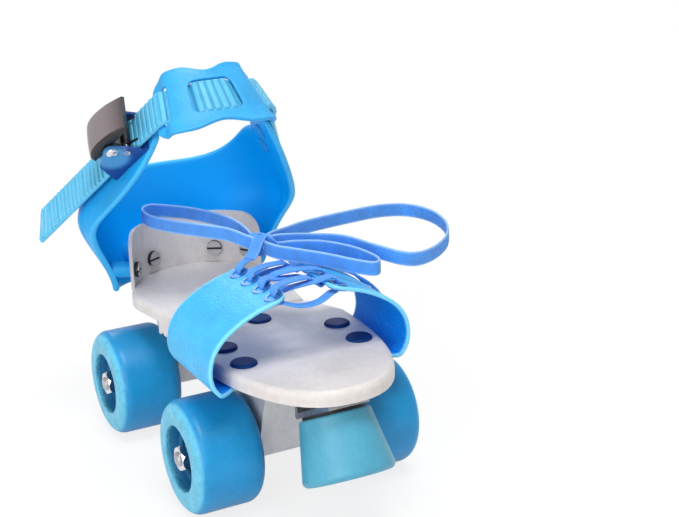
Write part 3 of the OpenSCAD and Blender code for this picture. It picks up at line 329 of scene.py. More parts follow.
def vector_maths(tree, operation, *values):
    """Result of a Vector Math node: a number for a length, else a vector."""
    node = fed(tree, "ShaderNodeVectorMath", *values, operation=operation)
    return node.outputs["Value" if operation == "LENGTH" else "Vector"]


def ranged(tree, value, low, high, to_low=0.0, to_high=1.0, way="SMOOTHSTEP"):
    """Map of a value from one range to another, smooth unless it is told to be straight."""
    ends = (low, high, to_low, to_high)
    return fed(tree, "ShaderNodeMapRange", value, *ends, interpolation_type=way).outputs[0]


def blended(tree, share, a, b):
    """Colour blend from a to b."""
    unused = [None] * 5
    return fed(tree, "ShaderNodeMix", share, *unused, a, b, data_type="RGBA").outputs[2]


def noise(tree, vector, scale, detail, roughness=0.55):
    """Noise value on a vector."""
    return fed(tree, "ShaderNodeTexNoise", vector, None, scale, detail, roughness).outputs[0]


def split(tree, vector):
    """Parts of a vector along x, y and z."""
    return fed(tree, "ShaderNodeSeparateXYZ", vector).outputs


def make_group(name, ins, outs):
    """Empty shader group: its tree, the sockets that bring its inputs and those that take its outputs."""
    tree = bpy.data.node_groups.new(name, "ShaderNodeTree")
    for way, sockets in (("INPUT", ins), ("OUTPUT", outs)):
        for label, kind in sockets.items():
            tree.interface.new_socket(label, in_out=way, socket_type=kind)
    return tree, tree.nodes.new("NodeGroupInput").outputs, tree.nodes.new("NodeGroupOutput").inputs


def make_clouding():
    """Clouded colour: broad noise with a share of fine noise blends the dark colour to the light one."""
    ins = {"Vector": VECTOR, "Scale": VALUE, "Light": COLOUR, "Dark": COLOUR}
    tree, put, out = make_group("clouding", ins, {"Color": COLOUR})
    finer, fine_share = 9.0, 0.35
    wide = noise(tree, put["Vector"], put["Scale"], 4)
    fine = noise(tree, put["Vector"], maths(tree, "MULTIPLY", put["Scale"], finer), 2)
    both = maths(tree, "MULTIPLY_ADD", fine, fine_share, maths(tree, "MULTIPLY", wide, 1 - fine_share))
    tree.links.new(blended(tree, ranged(tree, both, 0.36, 0.66), put["Dark"], put["Light"]), out["Color"])


def make_pebble():
    """Moulded or leathery pebble: a dome on each cell, one less the eased distance from its middle, and a
    share of coarse noise."""
    tree, put, out = make_group("pebble", {"Vector": VECTOR, "Scale": VALUE}, {"Height": VALUE})
    coarser, rough_share = 0.3, 0.6
    cells = fed(tree, "ShaderNodeTexVoronoi", put["Vector"], None, put["Scale"], feature="SMOOTH_F1")
    dome = maths(tree, "SUBTRACT", 1.0, ranged(tree, cells.outputs["Distance"], 0.05, 0.75))
    rough = noise(tree, put["Vector"], maths(tree, "MULTIPLY", put["Scale"], coarser), 2)
    tree.links.new(maths(tree, "ADD", dome, maths(tree, "MULTIPLY", rough, rough_share)), out["Height"])


def make_scuffs():
    """Handling scuffs: streaks of stretched noise spread the roughness from low to high, and fine noise
    gives a height."""
    ins = {"Vector": VECTOR, "Low": VALUE, "High": VALUE}
    tree, put, out = make_group("scuffs", ins, {"Rough": VALUE, "Height": VALUE})
    stretched = fed(tree, "ShaderNodeMapping", put["Vector"], None, None, STREAKS).outputs[0]
    streak = noise(tree, stretched, 3.0, 5, 0.65)
    tree.links.new(ranged(tree, streak, 0.3, 0.7, put["Low"], put["High"], "LINEAR"), out["Rough"])
    tree.links.new(noise(tree, put["Vector"], 420.0, 4), out["Height"])


def make_weave():
    """Crossing diagonal threads: the higher of two sines, of the run plus and less the width."""
    tree, put, out = make_group("weave", {"Run": VECTOR, "Pitch": VALUE}, {"Height": VALUE, "Mask": VALUE})
    run, width = split(tree, put["Run"])[:2]
    turn = maths(tree, "DIVIDE", 2 * math.pi, put["Pitch"])
    ways = [maths(tree, "MULTIPLY", maths(tree, sign, run, width), turn) for sign in ("ADD", "SUBTRACT")]
    high = maths(tree, "MAXIMUM", *[maths(tree, "SINE", way) for way in ways])
    tree.links.new(high, out["Height"])
    tree.links.new(ranged(tree, high, -0.4, 0.9), out["Mask"])


def placed(tree, name, vector, **values):
    """Outputs of a shared group placed in a finish with its own values."""
    node = fed(tree, "ShaderNodeGroup", vector, node_tree=bpy.data.node_groups[name])
    for key, x in values.items():
        node.inputs[key].default_value = x
    return node.outputs


def shade(colour, factor=1.0):
    """Colour with four channels, darkened or lightened by a factor."""
    return tuple(min(1.0, float(c) * factor) for c in colour) + (1.0,)


def make_finish(name, colour, low, high, rough, cloud, pebble, depth, plain):
    """Principled finish: clouded colour from low to high times the colour, scuffed roughness, and a bump of
    pebbles or fine scuffs. Plain values go straight to the shader's sockets."""
    mat = bpy.data.materials.new(name)
    mat.use_nodes = True
    tree = mat.node_tree
    shader = tree.nodes["Principled BSDF"].inputs
    spot = tree.nodes.new("ShaderNodeTexCoord").outputs["Object"]
    tone = placed(tree, "clouding", spot, Scale=cloud, Light=shade(colour, high), Dark=shade(colour, low))
    scuff = placed(tree, "scuffs", spot, Low=rough[0], High=rough[1])
    raised = placed(tree, "pebble", spot, Scale=pebble) if pebble else scuff
    rise = tree.nodes.new("ShaderNodeBump")
    rise.inputs["Distance"].default_value = depth * MM
    tree.links.new(raised["Height"], rise.inputs["Height"])
    tree.links.new(tone["Color"], shader["Base Color"])
    tree.links.new(scuff["Rough"], shader["Roughness"])
    tree.links.new(rise.outputs[0], shader["Normal"])
    for key, x in plain.items():
        shader[key].default_value = x
    return mat


def make_finishes(c):
    """All finishes by name. A row gives the colour, its darkest and lightest share, the range of roughness,
    the scale of the clouds and of the pebbles, the depth of the bump in millimetres and the plain values."""
    satin = {"Specular IOR Level": 0.35}
    enamel = {"Coat Weight": 0.15, "Coat Roughness": 0.4}
    rows = {
        "deck_enamel": (c.deck, 0.86, 1.0, (0.36, 0.54), 34, None, 0.12, enamel),
        "zinc_steel": (linear(200, 200, 204), 0.7, 1.0, (0.28, 0.46), 140, None, 0.1, {"Metallic": 1.0}),
        "truck_steel": (linear(226, 223, 224), 0.88, 1.02, (0.36, 0.52), 50, None, 0.12, {"Metallic": 0.35}),
        "bright_chrome": (linear(226, 228, 232), 0.86, 1.0, (0.08, 0.2), 200, None, 0.04, {"Metallic": 1.0}),
        "dark_steel": (linear(58, 60, 66), 0.6, 1.0, (0.3, 0.5), 150, None, 0.1, {"Metallic": 0.7}),
        "blue_shell": (c.shell, 0.9, 1.06, (0.34, 0.48), 26, None, 0.08, {"Specular IOR Level": 0.2}),
        "blue_pad": (c.pad, 0.9, 1.08, (0.32, 0.46), 60, 1500, 0.05, satin),
        "aqua_strap": (c.strap, 0.92, 1.06, (0.26, 0.4), 70, None, 0.06, {}),
        # Painted shade: the buckle base's navy stands in for the shade along its foot; round the ears it is
        # blended back to their own paler blue.
        "buckle_steel": (linear(24, 70, 146), 0.94, 1.04, (0.3, 0.34), 60, None, 0.01, {"Metallic": 0.2}),
        "bolt_steel": (linear(176, 172, 172), 0.9, 1.04, (0.3, 0.44), 120, None, 0.04, {"Metallic": 0.3}),
        "black_lever": (c.lever, 0.7, 1.25, (0.2, 0.34), 120, None, 0.05, {"Coat Weight": 0.2}),
        "blue_wheel": (c.wheel, 0.9, 1.06, (0.3, 0.44), 40, None, 0.3, satin),
        "aqua_stop": (c.stop, 0.92, 1.04, (0.34, 0.48), 44, None, 0.12, {}),
        "black_rubber": (linear(24, 24, 26), 0.7, 1.3, (0.5, 0.7), 160, 1300, 0.1, {}),
        "blue_flap": (c.flap, 0.86, 1.08, (0.34, 0.52), 70, 760, 0.16, satin),
        "dark_blue_rivet": (c.rivet, 0.75, 1.2, (0.4, 0.55), 150, None, 0.08, {"Specular IOR Level": 0.12}),
        "blue_eyelet": (linear(64, 126, 196), 0.8, 1.1, (0.2, 0.36), 200, None, 0.05, {"Metallic": 0.5}),
        "blue_lace": (c.lace, 0.78, 1.12, (0.7, 0.85), 110, None, 0.1, {"Sheen Weight": 0.1}),
        "black_aglet": (linear(28, 28, 32), 0.7, 1.2, (0.2, 0.34), 200, None, 0.04, {}),
    }
    return {name: make_finish(name, *row) for name, row in rows.items()}


def spot_in(tree):
    """Object coordinates in a finish."""
    return tree.nodes["Texture Coordinate"].outputs["Object"]


def recoloured(tree, share, colour):
    """Blends the colour that a finish has so far towards another one by a share."""
    base = tree.nodes["Principled BSDF"].inputs["Base Color"]
    tree.links.new(blended(tree, share, base.links[0].from_socket, colour), base)


def tinted(name, value, share, colour):
    """Blends a finish towards a colour by a share of a value carried on the points."""
    tree = finishes[name].node_tree
    mark = fed(tree, "ShaderNodeAttribute", attribute_name=value).outputs["Fac"]
    recoloured(tree, maths(tree, "MULTIPLY", mark, share), shade(colour))


def dress_wheels_finish():
    """Wheel finish: paler, pebbled sides by the distance from the middle plane, and a smoother tread."""
    tree = finishes["blue_wheel"].node_tree
    spot, pale = spot_in(tree), colours().wheel_side
    side = ranged(tree, maths(tree, "ABSOLUTE", split(tree, spot)[1]), SIDE_FROM * MM, SIDE_FULL * MM)
    tone = placed(tree, "clouding", spot, Scale=160.0, Light=shade(pale, 1.1), Dark=shade(pale, 0.84))
    recoloured(tree, side, tone["Color"])
    height = tree.nodes["Bump"].inputs["Height"]
    pebbles = maths(tree, "MULTIPLY", placed(tree, "pebble", spot, Scale=640.0)["Height"], side)
    scuffs = maths(tree, "MULTIPLY", height.links[0].from_socket, 0.25)
    tree.links.new(maths(tree, "ADD", pebbles, scuffs), height)


def dress_lace_finish():
    """Lace finish: crossing diagonal threads along the run, paler raised threads and selvedges."""
    tree = finishes["blue_lace"].node_tree
    run = fed(tree, "ShaderNodeUVMap", uv_map="run").outputs[0]
    threads = placed(tree, "weave", run, Pitch=THREAD_PITCH)
    edge = ranged(tree, maths(tree, "ABSOLUTE", split(tree, run)[1]), SELVEDGE_FROM, SELVEDGE_FULL)
    pale = maths(tree, "ADD", edge, maths(tree, "MULTIPLY", threads["Mask"], 0.35))
    recoloured(tree, maths(tree, "MULTIPLY", pale, 0.75), shade(colours().lace_edge))
    tree.links.new(threads["Height"], tree.nodes["Bump"].inputs["Height"])


def dress_buckle_finish():
    """Buckle base: its own paler blue round its ears, by the distance from the line through their middles;
    further out the finish keeps its navy, painted shade along the base's foot.
    """
    tree = finishes["buckle_steel"].node_tree
    step = vector_maths(tree, "SUBTRACT", spot_in(tree), at_buckle(*EAR_AT) * MM)
    far = vector_maths(tree, "LENGTH", vector_maths(tree, "CROSS_PRODUCT", step, STRAP_SIDE))
    recoloured(tree, ranged(tree, far, EAR_FROM * MM, EAR_TO * MM, 1.0, 0.0), shade(EAR_TINT))


def dress_bolt_finish():
    """Shell bolts: pale on the faces of their heads, with painted shade, near black, in their slots and
    behind the faces, by the distance from the upright axis of the heel."""
    tree = finishes["bolt_steel"].node_tree
    step = vector_maths(tree, "SUBTRACT", spot_in(tree), (HEEL_C * MM, 0, 0))
    far = vector_maths(tree, "LENGTH", vector_maths(tree, "MULTIPLY", step, (1, 1, 0)))
    recoloured(tree, ranged(tree, far, BOLT_FACE * MM, BOLT_DEEP * MM), shade(BOLT_SLOT_SHADE))


# Stage, in metres

FLOOR_HALF, FLOOR_GREY = 4.0, (0.86, 0.86, 0.86, 1)
SHADOW_NEAR, SHADOW_FAR, NEAR_WHITE = 0.25, 0.6, 0.8
FLOOR_SHINE, WORLD_SHINE, WORLD_LIGHT = 0.6, 0.5, 0.4
LAMPS = (
    ("key", (0.42, -0.05, 1.4), 13, 0.6),
    ("fill", (0.8, -1.1, 0.5), 12, 1.2),
    ("back", (-1.1, 0.5, 1.0), 9, 1.0),
)
CAMERA_AT, CAMERA_YAW, CAMERA_PITCH, CAMERA_ROLL = (0.5945, -0.2524, 0.2351), 2.664, 0.317, -0.032
FOCAL_PX, WIDTH_PX, SENSOR_MM = 1383.4, 679, 36


def placing(x, y, z, at):
    """Matrix that turns an object to three axes and moves it to a place."""
    return Matrix([[x[i], y[i], z[i], at[i]] for i in range(3)] + [[0, 0, 0, 1]])


class SKATE_OT_stage(bpy.types.Operator):
    """Finishes, floor, lamps, world and camera"""

    bl_idname = "skate.stage"
    bl_label = "Stage"

    def execute(self, context):
        scene = context.scene
        scene.view_settings.view_transform = "Standard"
        make_clouding()
        make_pebble()
        make_scuffs()
        make_weave()
        finishes.update(make_finishes(colours()))
        self.floor(scene)
        self.light(scene)
        self.camera(scene)
        return {"FINISHED"}

    def floor(self, scene):
        """Square floor under the wheels, white to the camera apart from a share of its shadow."""
        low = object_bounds()[0][2]
        mesh = bpy.data.meshes.new("floor")
        corners = [(x * FLOOR_HALF, y * FLOOR_HALF, low) for x, y in ((-1, -1), (1, -1), (1, 1), (-1, 1))]
        mesh.from_pydata(corners, [], [(0, 1, 2, 3)])
        mat = bpy.data.materials.new("floor")
        mat.use_nodes = True
        tree = mat.node_tree
        tree.nodes.clear()
        matt = fed(tree, "ShaderNodeBsdfDiffuse", FLOOR_GREY)
        glow = tree.nodes.new("ShaderNodeEmission")
        path = tree.nodes.new("ShaderNodeLightPath").outputs
        shine = maths(tree, "MULTIPLY", path["Is Glossy Ray"], FLOOR_SHINE)
        seen = maths(tree, "MAXIMUM", path["Is Camera Ray"], shine)
        far = vector_maths(tree, "LENGTH", tree.nodes.new("ShaderNodeTexCoord").outputs["Object"])
        white = ranged(tree, far, SHADOW_NEAR, SHADOW_FAR, NEAR_WHITE, 1.0)
        share = maths(tree, "MULTIPLY", seen, white)
        part = fed(tree, "ShaderNodeMixShader", share, matt.outputs[0], glow.outputs[0])
        fed(tree, "ShaderNodeOutputMaterial", part.outputs[0])
        mesh.materials.append(mat)
        obj = bpy.data.objects.new("floor", mesh)
        scene.collection.objects.link(obj)
        obj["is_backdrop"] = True

    def light(self, scene):
        """Broad key lamp ahead and above, a fill on the near side, a lamp behind and an even world. Each lamp
        looks from its place to the origin."""
        for name, at, power, width in LAMPS:
            lamp = bpy.data.lights.new(name, "AREA")
            lamp.energy = power
            lamp.size = width
            obj = bpy.data.objects.new(name, lamp)
            z = unit(np.array(at))
            x = unit(np.cross(UP, z))
            obj.matrix_world = placing(x, np.cross(z, x), z, at)
            scene.collection.objects.link(obj)
        world = bpy.data.worlds.new("studio")
        world.use_nodes = True
        tree = world.node_tree
        back = tree.nodes["Background"].inputs
        path = tree.nodes.new("ShaderNodeLightPath").outputs
        seen = maths(tree, "MAXIMUM", path["Is Camera Ray"], path["Is Transmission Ray"])
        bright = maths(tree, "MAXIMUM", seen, maths(tree, "MULTIPLY", path["Is Glossy Ray"], WORLD_SHINE))
        tree.links.new(ranged(tree, bright, 0.0, 1.0, WORLD_LIGHT, 1.0), back["Strength"])
        back["Color"].default_value = (1, 1, 1, 1)
        scene.world = world

    def camera(self, scene):
        """Camera from its place, yaw, pitch and roll: it looks along the yawed, pitched way."""
        flat = math.cos(CAMERA_PITCH)
        way = np.array([flat * math.cos(CAMERA_YAW), flat * math.sin(CAMERA_YAW), -math.sin(CAMERA_PITCH)])
        right = unit(np.cross(way, UP))
        top = np.cross(right, way)
        cos, sin = math.cos(CAMERA_ROLL), math.sin(CAMERA_ROLL)
        data = bpy.data.cameras.new("camera")
        data.sensor_width = SENSOR_MM
        data.lens = SENSOR_MM * FOCAL_PX / WIDTH_PX
        data.clip_start = 0.01
        obj = bpy.data.objects.new("camera", data)
        obj.matrix_world = placing(cos * right + sin * top, cos * top - sin * right, -way, CAMERA_AT)
        scene.collection.objects.link(obj)
        scene.camera = obj


# Lace: the points are those of the solids' routes

EYELETS, EYELET_STEP, LAST_EYELET = 4, 12.5, 73.5
OVER_HOP = [
    [0.3, 12.2, 27.6], [0.1, 15.2, 28.1], [0, 15.8, 30.1], [-0.2, 15.9, 32.7],
    [-2.2, 13.4, 34.6], [-5.2, 6, 34.9], [-6.25, 0, 34.7], [-7.6, -5.5, 33.6],
]
UNDER_HOP = OVER_HOP[:4] + [[-2.2, 13.4, 34.4], [-4.8, 7.4, 32.6], [-6.25, 0, 31.6], [-7.8, -6.4, 30.4]]
LACING_FRONT = [[75.2, -6, 25.4], [75.2, 0, 24.6], [75.2, 6, 25.4]]
LACING_END = np.array([[32.5, 8.6, 36.6]])
HEEL_LOOP = [
    [25.4, -0.6, 39.8], [20.5, -2, 41], [8, -1, 42], [-14, 1, 40], [-38, 0.5, 37.2], [-60, -3, 34.6],
    [-76, -8, 32.6], [-83, -13, 32.3], [-82, -18, 32.3], [-74, -22, 32.8], [-56, -24.5, 34.6],
    [-34, -23, 37.6], [-12, -17, 40], [8, -9, 41.5], [20.5, -5.4, 41], [25.2, -1.8, 39.4],
]
SIDE_LOOP = [
    [25.8, 2.2, 39.8], [24, 7.2, 41], [20, 16, 40.6], [12, 32, 39.6], [4, 58, 38], [-4, 82, 35.5],
    [-4, 99, 33], [8, 106, 31.4], [26, 103, 30.4], [44, 92, 30.4], [58, 77, 31], [66, 63, 32.4],
    [65, 54, 34], [54, 46, 36], [38, 38, 37.6], [31, 24, 39], [28.6, 14, 40], [27.6, 7.4, 40.4],
    [27.2, 2.4, 39.2],
]
SMALL_LOOP = [
    [28.4, 2.6, 38.4], [31, 7, 37.6], [34, 14, 38], [40, 26, 37.4], [52, 35, 36.4], [63, 39.5, 35],
    [70, 39.5, 34.2], [72.5, 35, 34.4], [68, 28, 35.6], [58, 18, 37.6], [48, 9, 38.6], [40, 3, 39],
    [34, 0.6, 39.4], [29.2, 0.2, 39.2],
]
BOW = (("heel", HEEL_LOOP, 12), ("side", SIDE_LOOP, 10), ("small", SMALL_LOOP, 10))
FIRST_END = [
    [25, 2.6, 37.8], [22, 6.2, 36.5], [24, 12, 34.8], [27.5, 17.5, 32.3], [30.5, 23, 30.4],
    [33, 28.8, 28.5], [35, 34.4, 26], [36.8, 39.6, 23], [38.3, 44.4, 19.3], [39.4, 48.4, 14.8],
    [40.2, 51, 9.4], [40.6, 52.2, 4.6],
]
SECOND_END = [
    [27.2, 2.8, 36.8], [27.6, 6.6, 34.4], [32.5, 12.6, 33.4], [38, 18, 32.1], [41.5, 23, 30.4],
    [44, 28.8, 28.5], [46, 34.4, 26], [47.8, 39.6, 23], [49.2, 44.4, 19.3], [50.2, 48.4, 14.8],
    [51, 51, 9.4], [51.4, 52.2, 4.6],
]
LACED_W, EYELET_W, EYELET_Y, EYELET_Z = 5.0, 3.2, 15, 32
THREAD_PITCH, SELVEDGE_FROM, SELVEDGE_FULL = 1.3, 2.3, 3.3
KNOT_AT, KNOT_TILT = np.array([27.0, 0, 39]), math.radians(38)
UPPER_FOLD = [
    [34.5, -9.6, 36.4], [32.2, -6.4, 38.4], [30, -3.2, 42], [27.4, 0.2, 44.2], [24.6, 3.6, 43],
    [22.8, 6.2, 40.2],
]
LOWER_FOLD = [[21.6, -5.2, 39.6], [23, -3.6, 41.8], [26, -0.2, 43], [29.4, 3, 41.6], [31.4, 5.4, 38.6]]
KNOT_FOLDS, FOLD_SIDE = ((UPPER_FOLD, 6.0), (LOWER_FOLD, 5.4)), np.array([0.72, 0.69, 0.1])
TURN_HALF, TURN_R, TURN_BULGE, TURN_BACK = 3.2, 4.1, 0.06, 0.6
CORE_R, CORE_HALF, CORE_OPEN = 3.6, 5.0, 0.05


def hops(hop, sign):
    """One hop repeated from eyelet to eyelet, changing sides, without the last crossing."""
    runs = []
    for k in range(EYELETS):
        x, y, z = np.array([p for p in hop if k < EYELETS - 1 or p[1] > 10], float).T
        runs.append(np.stack([LAST_EYELET - k * EYELET_STEP + x, sign * (-1) ** k * y, z], -1))
    return np.vstack(runs)


def lacing_route():
    """Down one side of the lacing, across its front and up the other."""
    down, up = hops(OVER_HOP, -1)[::-1], hops(UNDER_HOP, 1)
    return np.vstack([LACING_END, down, LACING_FRONT, up, LACING_END * FLIP])


def lace_band(route, side, width, thick, steps):
    """Flat woven band: a squared oval carried along a Catmull-Rom run with its width along the given way.
    Returns the skin, its run and width in millimetres, and its middle line."""
    widths = np.broadcast_to(np.asarray(width, float), len(route))
    line = through(np.column_stack([route, widths]), steps)
    p, w = line[:, :3], line[:, 3:]
    t = unit(np.gradient(p, axis=0))
    x = square_to(side, t)
    y = np.cross(t, x)
    across, over = squared_oval(24)
    reach = 0.5 * across * w
    rings = p[:, None] + reach[..., None] * x[:, None] + 0.5 * thick * over[:, None] * y[:, None]
    run = np.broadcast_to(run_along(p)[:, None], reach.shape)
    return solid(rings), np.stack([run, reach], -1).reshape(-1, 2), p


class SKATE_OT_lace(bpy.types.Operator):
    """Flat woven lace: lacing, bow, knot and ends"""

    bl_idname = "skate.lace"
    bl_label = "Lace"

    def execute(self, context):
        dress_lace_finish()
        width, thick = mm("lace_w", "lace_t")
        knot = self.knot(thick)
        route = lacing_route()
        at_eyelet = (np.abs(route[:, 1]) > EYELET_Y) & (route[:, 2] < EYELET_Z)
        laced = lace_band(route, ALONG, np.where(at_eyelet, EYELET_W, LACED_W), thick, 5)
        self.cord("lace_crossings", laced, "lace_lacing", "knot", LACED_W, [knot])
        for name, loop, steps in BOW:
            band = lace_band(loop, UP, width, thick, steps)
            self.cord(f"bow_loop_{name}", band, f"lace_loop_{name}", "knot", width)
        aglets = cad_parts["lace_aglets"]
        for k, end in enumerate((FIRST_END, SECOND_END)):
            band = lace_band(end, ALONG, LACED_W, thick, 10)
            self.cord(f"lace_end_{k + 1}", band, "lace_ends", "fitting", LACED_W, [aglets])
        return {"FINISHED"}

    def cord(self, name, band, node, far_end, width, extra=()):
        """One stretch of the lace: a piece on the toe with its run and width as its UV map."""
        skin, uv, line = band
        obj = piece(name, [skin], "toe", node, "blue_lace", 60)
        give_uv(obj, uv)

    def knot(self, thick):
        """Knot: two flat folds crossing over its top, the upper one led down to the near eyelet, and a turn
        round their core, an ellipse about a tilted axis through the knot."""
        bands = [lace_band(fold, FOLD_SIDE, wide, thick, 8) for fold, wide in KNOT_FOLDS]
        axis = np.array([math.sin(KNOT_TILT), math.cos(KNOT_TILT), 0])
        e = unit(np.cross(axis, UP))
        a = np.linspace(0, 2 * math.pi, 60, endpoint=False)[:, None]
        ray = (np.cos(a) * e + np.sin(a) * UP)[:, None]
        across, over = squared_oval(20)
        across = TURN_HALF * across
        far = TURN_R - TURN_BULGE * across**2
        middle = KNOT_AT + (across[:, None] - TURN_BACK) * axis
        turn = solid(middle + ray * (far + 0.5 * thick * over)[:, None], True)
        run = np.stack(np.broadcast_arrays(far * a, across), -1).reshape(-1, 2)
        b = np.linspace(CORE_OPEN, math.pi - CORE_OPEN, 18)
        core = np.stack([CORE_R * np.sin(b), -CORE_HALF * np.cos(b)], -1)
        parts = [skin for skin, _, _ in bands] + [turn, turned(core, 32, KNOT_AT, e, UP, axis)]
        obj = piece("bow_knot", parts, "toe", "lace_knot", "blue_lace", 60)
        give_uv(obj, np.vstack([uv for _, uv, _ in bands] + [run]))
        return obj


# Heel shell

SHELL_C, SHELL_FOOT, SHELL_BACK = -66.0, -4.0, -104
ARM_RUN, ARM_FALL, ARM_REACH = 0.139, 0.493, 69.5
FLARE_HALF, FLARE_RISE, FOOT_HALF, FOOT_TOP = 41.8, 0.55, 43.6, 24
FLARE_SOFT, FOOT_SOFT, TUCK, TUCK_RISE = 3.5, 1.5, 18, 14
CUP_COLUMNS, CUP_LOW, CUP_HIGH, CUP_SWEEP = 37, 53, 75, 3.5
ARM_RIM = [
    [-66, -4], [-64, 16], [-58, 28], [-50.5, 38.5], [-43, 46.5],
    [-36, 54.5], [-30.5, 62.5], [-26.5, 70], [-24.5, 77], [-24.2, 81],
]
ARM_EDGE = [
    [-66, 75], [-62, 78], [-57.5, 82], [-52.5, 86.5], [-47.5, 91],
    [-42.5, 94.5], [-37.5, 95.5], [-32, 93.5], [-27, 89], [-24.8, 86],
]
LEAN_WALL, RIM_FADE, SHELL_STEPS, ARM_STEPS = 1.13, 1.7, 60, 6
BLEND_BEFORE, BLEND_AFTER, BLEND_PASSES = 7, 9, 6
SHELL_TIP = ((0.95, 0.5), (0.84, 0.95), (0.62, 1.25), (0.3, 1.4))
HEEL_C, HEEL_R, BOSS_Z = -42.0, 40.0, 8.0
BOLT_FACE, BOLT_DEEP = 36.1, 36.4
BOSSES = ((123, 11.2, 9), (152, 19.4, 14), (208, 19.4, 14), (237, 11.2, 9))
BOSS_BORE, BOSS_EDGE, BOSS_FOOT, BOSS_GAP = 2.6, 0.8, 0.6, 0.2


def shell_half(z):
    """Half width of the shell at a height: the rounded smaller of the rising flare and the leaning arm,
    held outside the foot of the cup below the flare."""
    arm = ARM_REACH - ARM_RUN * SHELL_C - ARM_FALL * z
    bulge = soft_min(FLARE_HALF + FLARE_RISE * z, arm, FLARE_SOFT)
    return np.where(z > FOOT_TOP, bulge, -soft_min(-FOOT_HALF, -bulge, FOOT_SOFT))


def both_sides(half, flip=1):
    """Columns of one side after those of the other, which run backwards and are flipped over."""
    return np.concatenate([(half * flip)[::-1], half[1:]])


def shell_skin(wall):
    """Shell wall: columns run round the back and out along both arms; each is a rounded strip from the foot
    to the top edge. A point (w, e) of a strip is taken w up its column and e in from the outer face.
    Returns the skin and how near each point is to the rim and to the inner face, the shares of the painted
    highlight along the rim and of the painted shade of the inner face."""
    cup = np.radians(np.linspace(0, 90, CUP_COLUMNS))
    top = mix(CUP_LOW, CUP_HIGH, np.sin(cup) ** CUP_SWEEP)
    low = np.vstack([np.stack([0 * cup, 0 * cup + SHELL_FOOT], -1), through(ARM_RIM, ARM_STEPS)[1:]])
    high = np.vstack([np.stack([0 * cup, top], -1), through(ARM_EDGE, ARM_STEPS)[1:]])
    length = np.linalg.norm(high - low, axis=1)
    w, e = strip(length, wall, 0.49 * wall, SHELL_STEPS)
    along, z = np.moveaxis(mix(low[:, None], high[:, None], (w / length[:, None])[..., None]), -1, 0)
    half = shell_half(z) - LEAN_WALL * e
    back = SHELL_BACK + TUCK * np.exp(-(z - SHELL_FOOT) / TUCK_RISE)
    on_cup = (np.arange(len(low)) < CUP_COLUMNS)[:, None]
    turn = np.concatenate([cup, np.full(len(low) - CUP_COLUMNS, math.pi / 2)])[:, None]
    x = np.where(on_cup, SHELL_C + (back + e - SHELL_C) * np.cos(turn), along)
    y = np.where(on_cup, half * np.sin(turn), half - ARM_RUN * (x - SHELL_C))
    side = np.stack([x, y, z], -1)
    first, last = CUP_COLUMNS - BLEND_BEFORE, CUP_COLUMNS + BLEND_AFTER
    for _ in range(BLEND_PASSES):
        around = side[first - 1 : last - 1] + side[first + 1 : last + 1]
        side[first:last] = 0.5 * side[first:last] + 0.25 * around
    side = tipped(side, SHELL_TIP)
    rim = np.exp(-((np.minimum(w, length[:, None] - w) / RIM_FADE) ** 2))
    rim = np.concatenate([rim, np.ones((len(SHELL_TIP), len(e)))])
    inside = np.broadcast_to(ease(e / wall), rim.shape)
    return solid(both_sides(side, FLIP)), both_sides(rim), both_sides(inside)


class SKATE_OT_shell(bpy.types.Operator):
    """Moulded heel shell with its four bosses"""

    bl_idname = "skate.shell"
    bl_label = "Heel shell"

    def execute(self, context):
        # Painted shade: a deeper, saturated blue over the shell's inner face.
        tinted("blue_shell", "inside", 1.0, colours().shell_inside_shade)
        # Painted highlight: a paler cyan band along the shell's rim.
        tinted("blue_shell", "rim", 0.7, RIM_HIGHLIGHT)
        skin, rim, inside = shell_skin(*mm("shell_t"))
        parts = [skin] + [self.boss(*row) for row in BOSSES]
        obj = piece("shell_moulding", parts, "heel", "heel_shell", "blue_shell")
        give_value(obj, "rim", rim)
        give_value(obj, "inside", inside)
        return {"FINISHED"}

    def boss(self, angle, reach, wide):
        """Boss: a lathe ring round a bolt, from the heel plate's wall outwards, with a rounded outer edge."""
        a = math.radians(angle)
        az = np.array([math.cos(a), math.sin(a), 0])
        r, low, high = wide / 2, HEEL_R + BOSS_GAP, HEEL_R + reach
        edge = arc((r - BOSS_EDGE, high - BOSS_EDGE), BOSS_EDGE, 0, 90, 6)
        profile = np.vstack([[[BOSS_BORE, low], [r - BOSS_FOOT, low]], edge, [[BOSS_BORE, high]]])
        return turned(profile, 48, np.array([HEEL_C, 0, BOSS_Z]), np.cross(UP, az), UP, az, True)


# Ankle strap, pad and buckle, in the frame of the right arm

ARM_OUT = unit(np.array([ARM_RUN, -1, ARM_FALL]))
STRAP_UP = square_to(np.array([0.65, 0.41, 0.64]), ARM_OUT)
STRAP_SIDE = np.cross(ARM_OUT, STRAP_UP)
BUCKLE_X, BUCKLE_Z = -45.5, 75.5
BUCKLE_AT = np.array([BUCKLE_X, ARM_RUN * BUCKLE_X + ARM_FALL * BUCKLE_Z - ARM_REACH, BUCKLE_Z])
STRAP_LIFT, ARCH_FROM, ARCH_PULL, ARCH_DROP = 3.4, 32.0, 21.0, 3.5
TAIL_RUN, TAIL_CUT, LEFT_RUN, LIE = -76.0, 3.0, 50.0, 0.3
ARCH_A = BUCKLE_AT + STRAP_LIFT * ARM_OUT + ARCH_FROM * STRAP_UP
ARCH_B = ARCH_A + ARCH_PULL * STRAP_UP
ARCH = (ARCH_A, ARCH_B, FLIP * ARCH_B, FLIP * ARCH_A)
WINDOW_HALF, WINDOW_CORNER, WINDOW_GAP = 10.7, 3.8, 0.4
SLOT_NEAR, SLOT_OPEN, SLOT_FAR, SLOT_GAP = 21.0, 21.8, 27.5, 0.55
PAD_REACH, PAD_HIGH, PAD_END, LOBE_AT, WAIST = 32.5, 1.0, 1.7, 13.0, 3.6
WINDOW_ROWS, PAD_ROWS, CORNER_FADE = 4, (0.2, 0.42, 0.64, 0.84, 1.0), 4
BEAD, BEAD_W = 0.45, 2.2
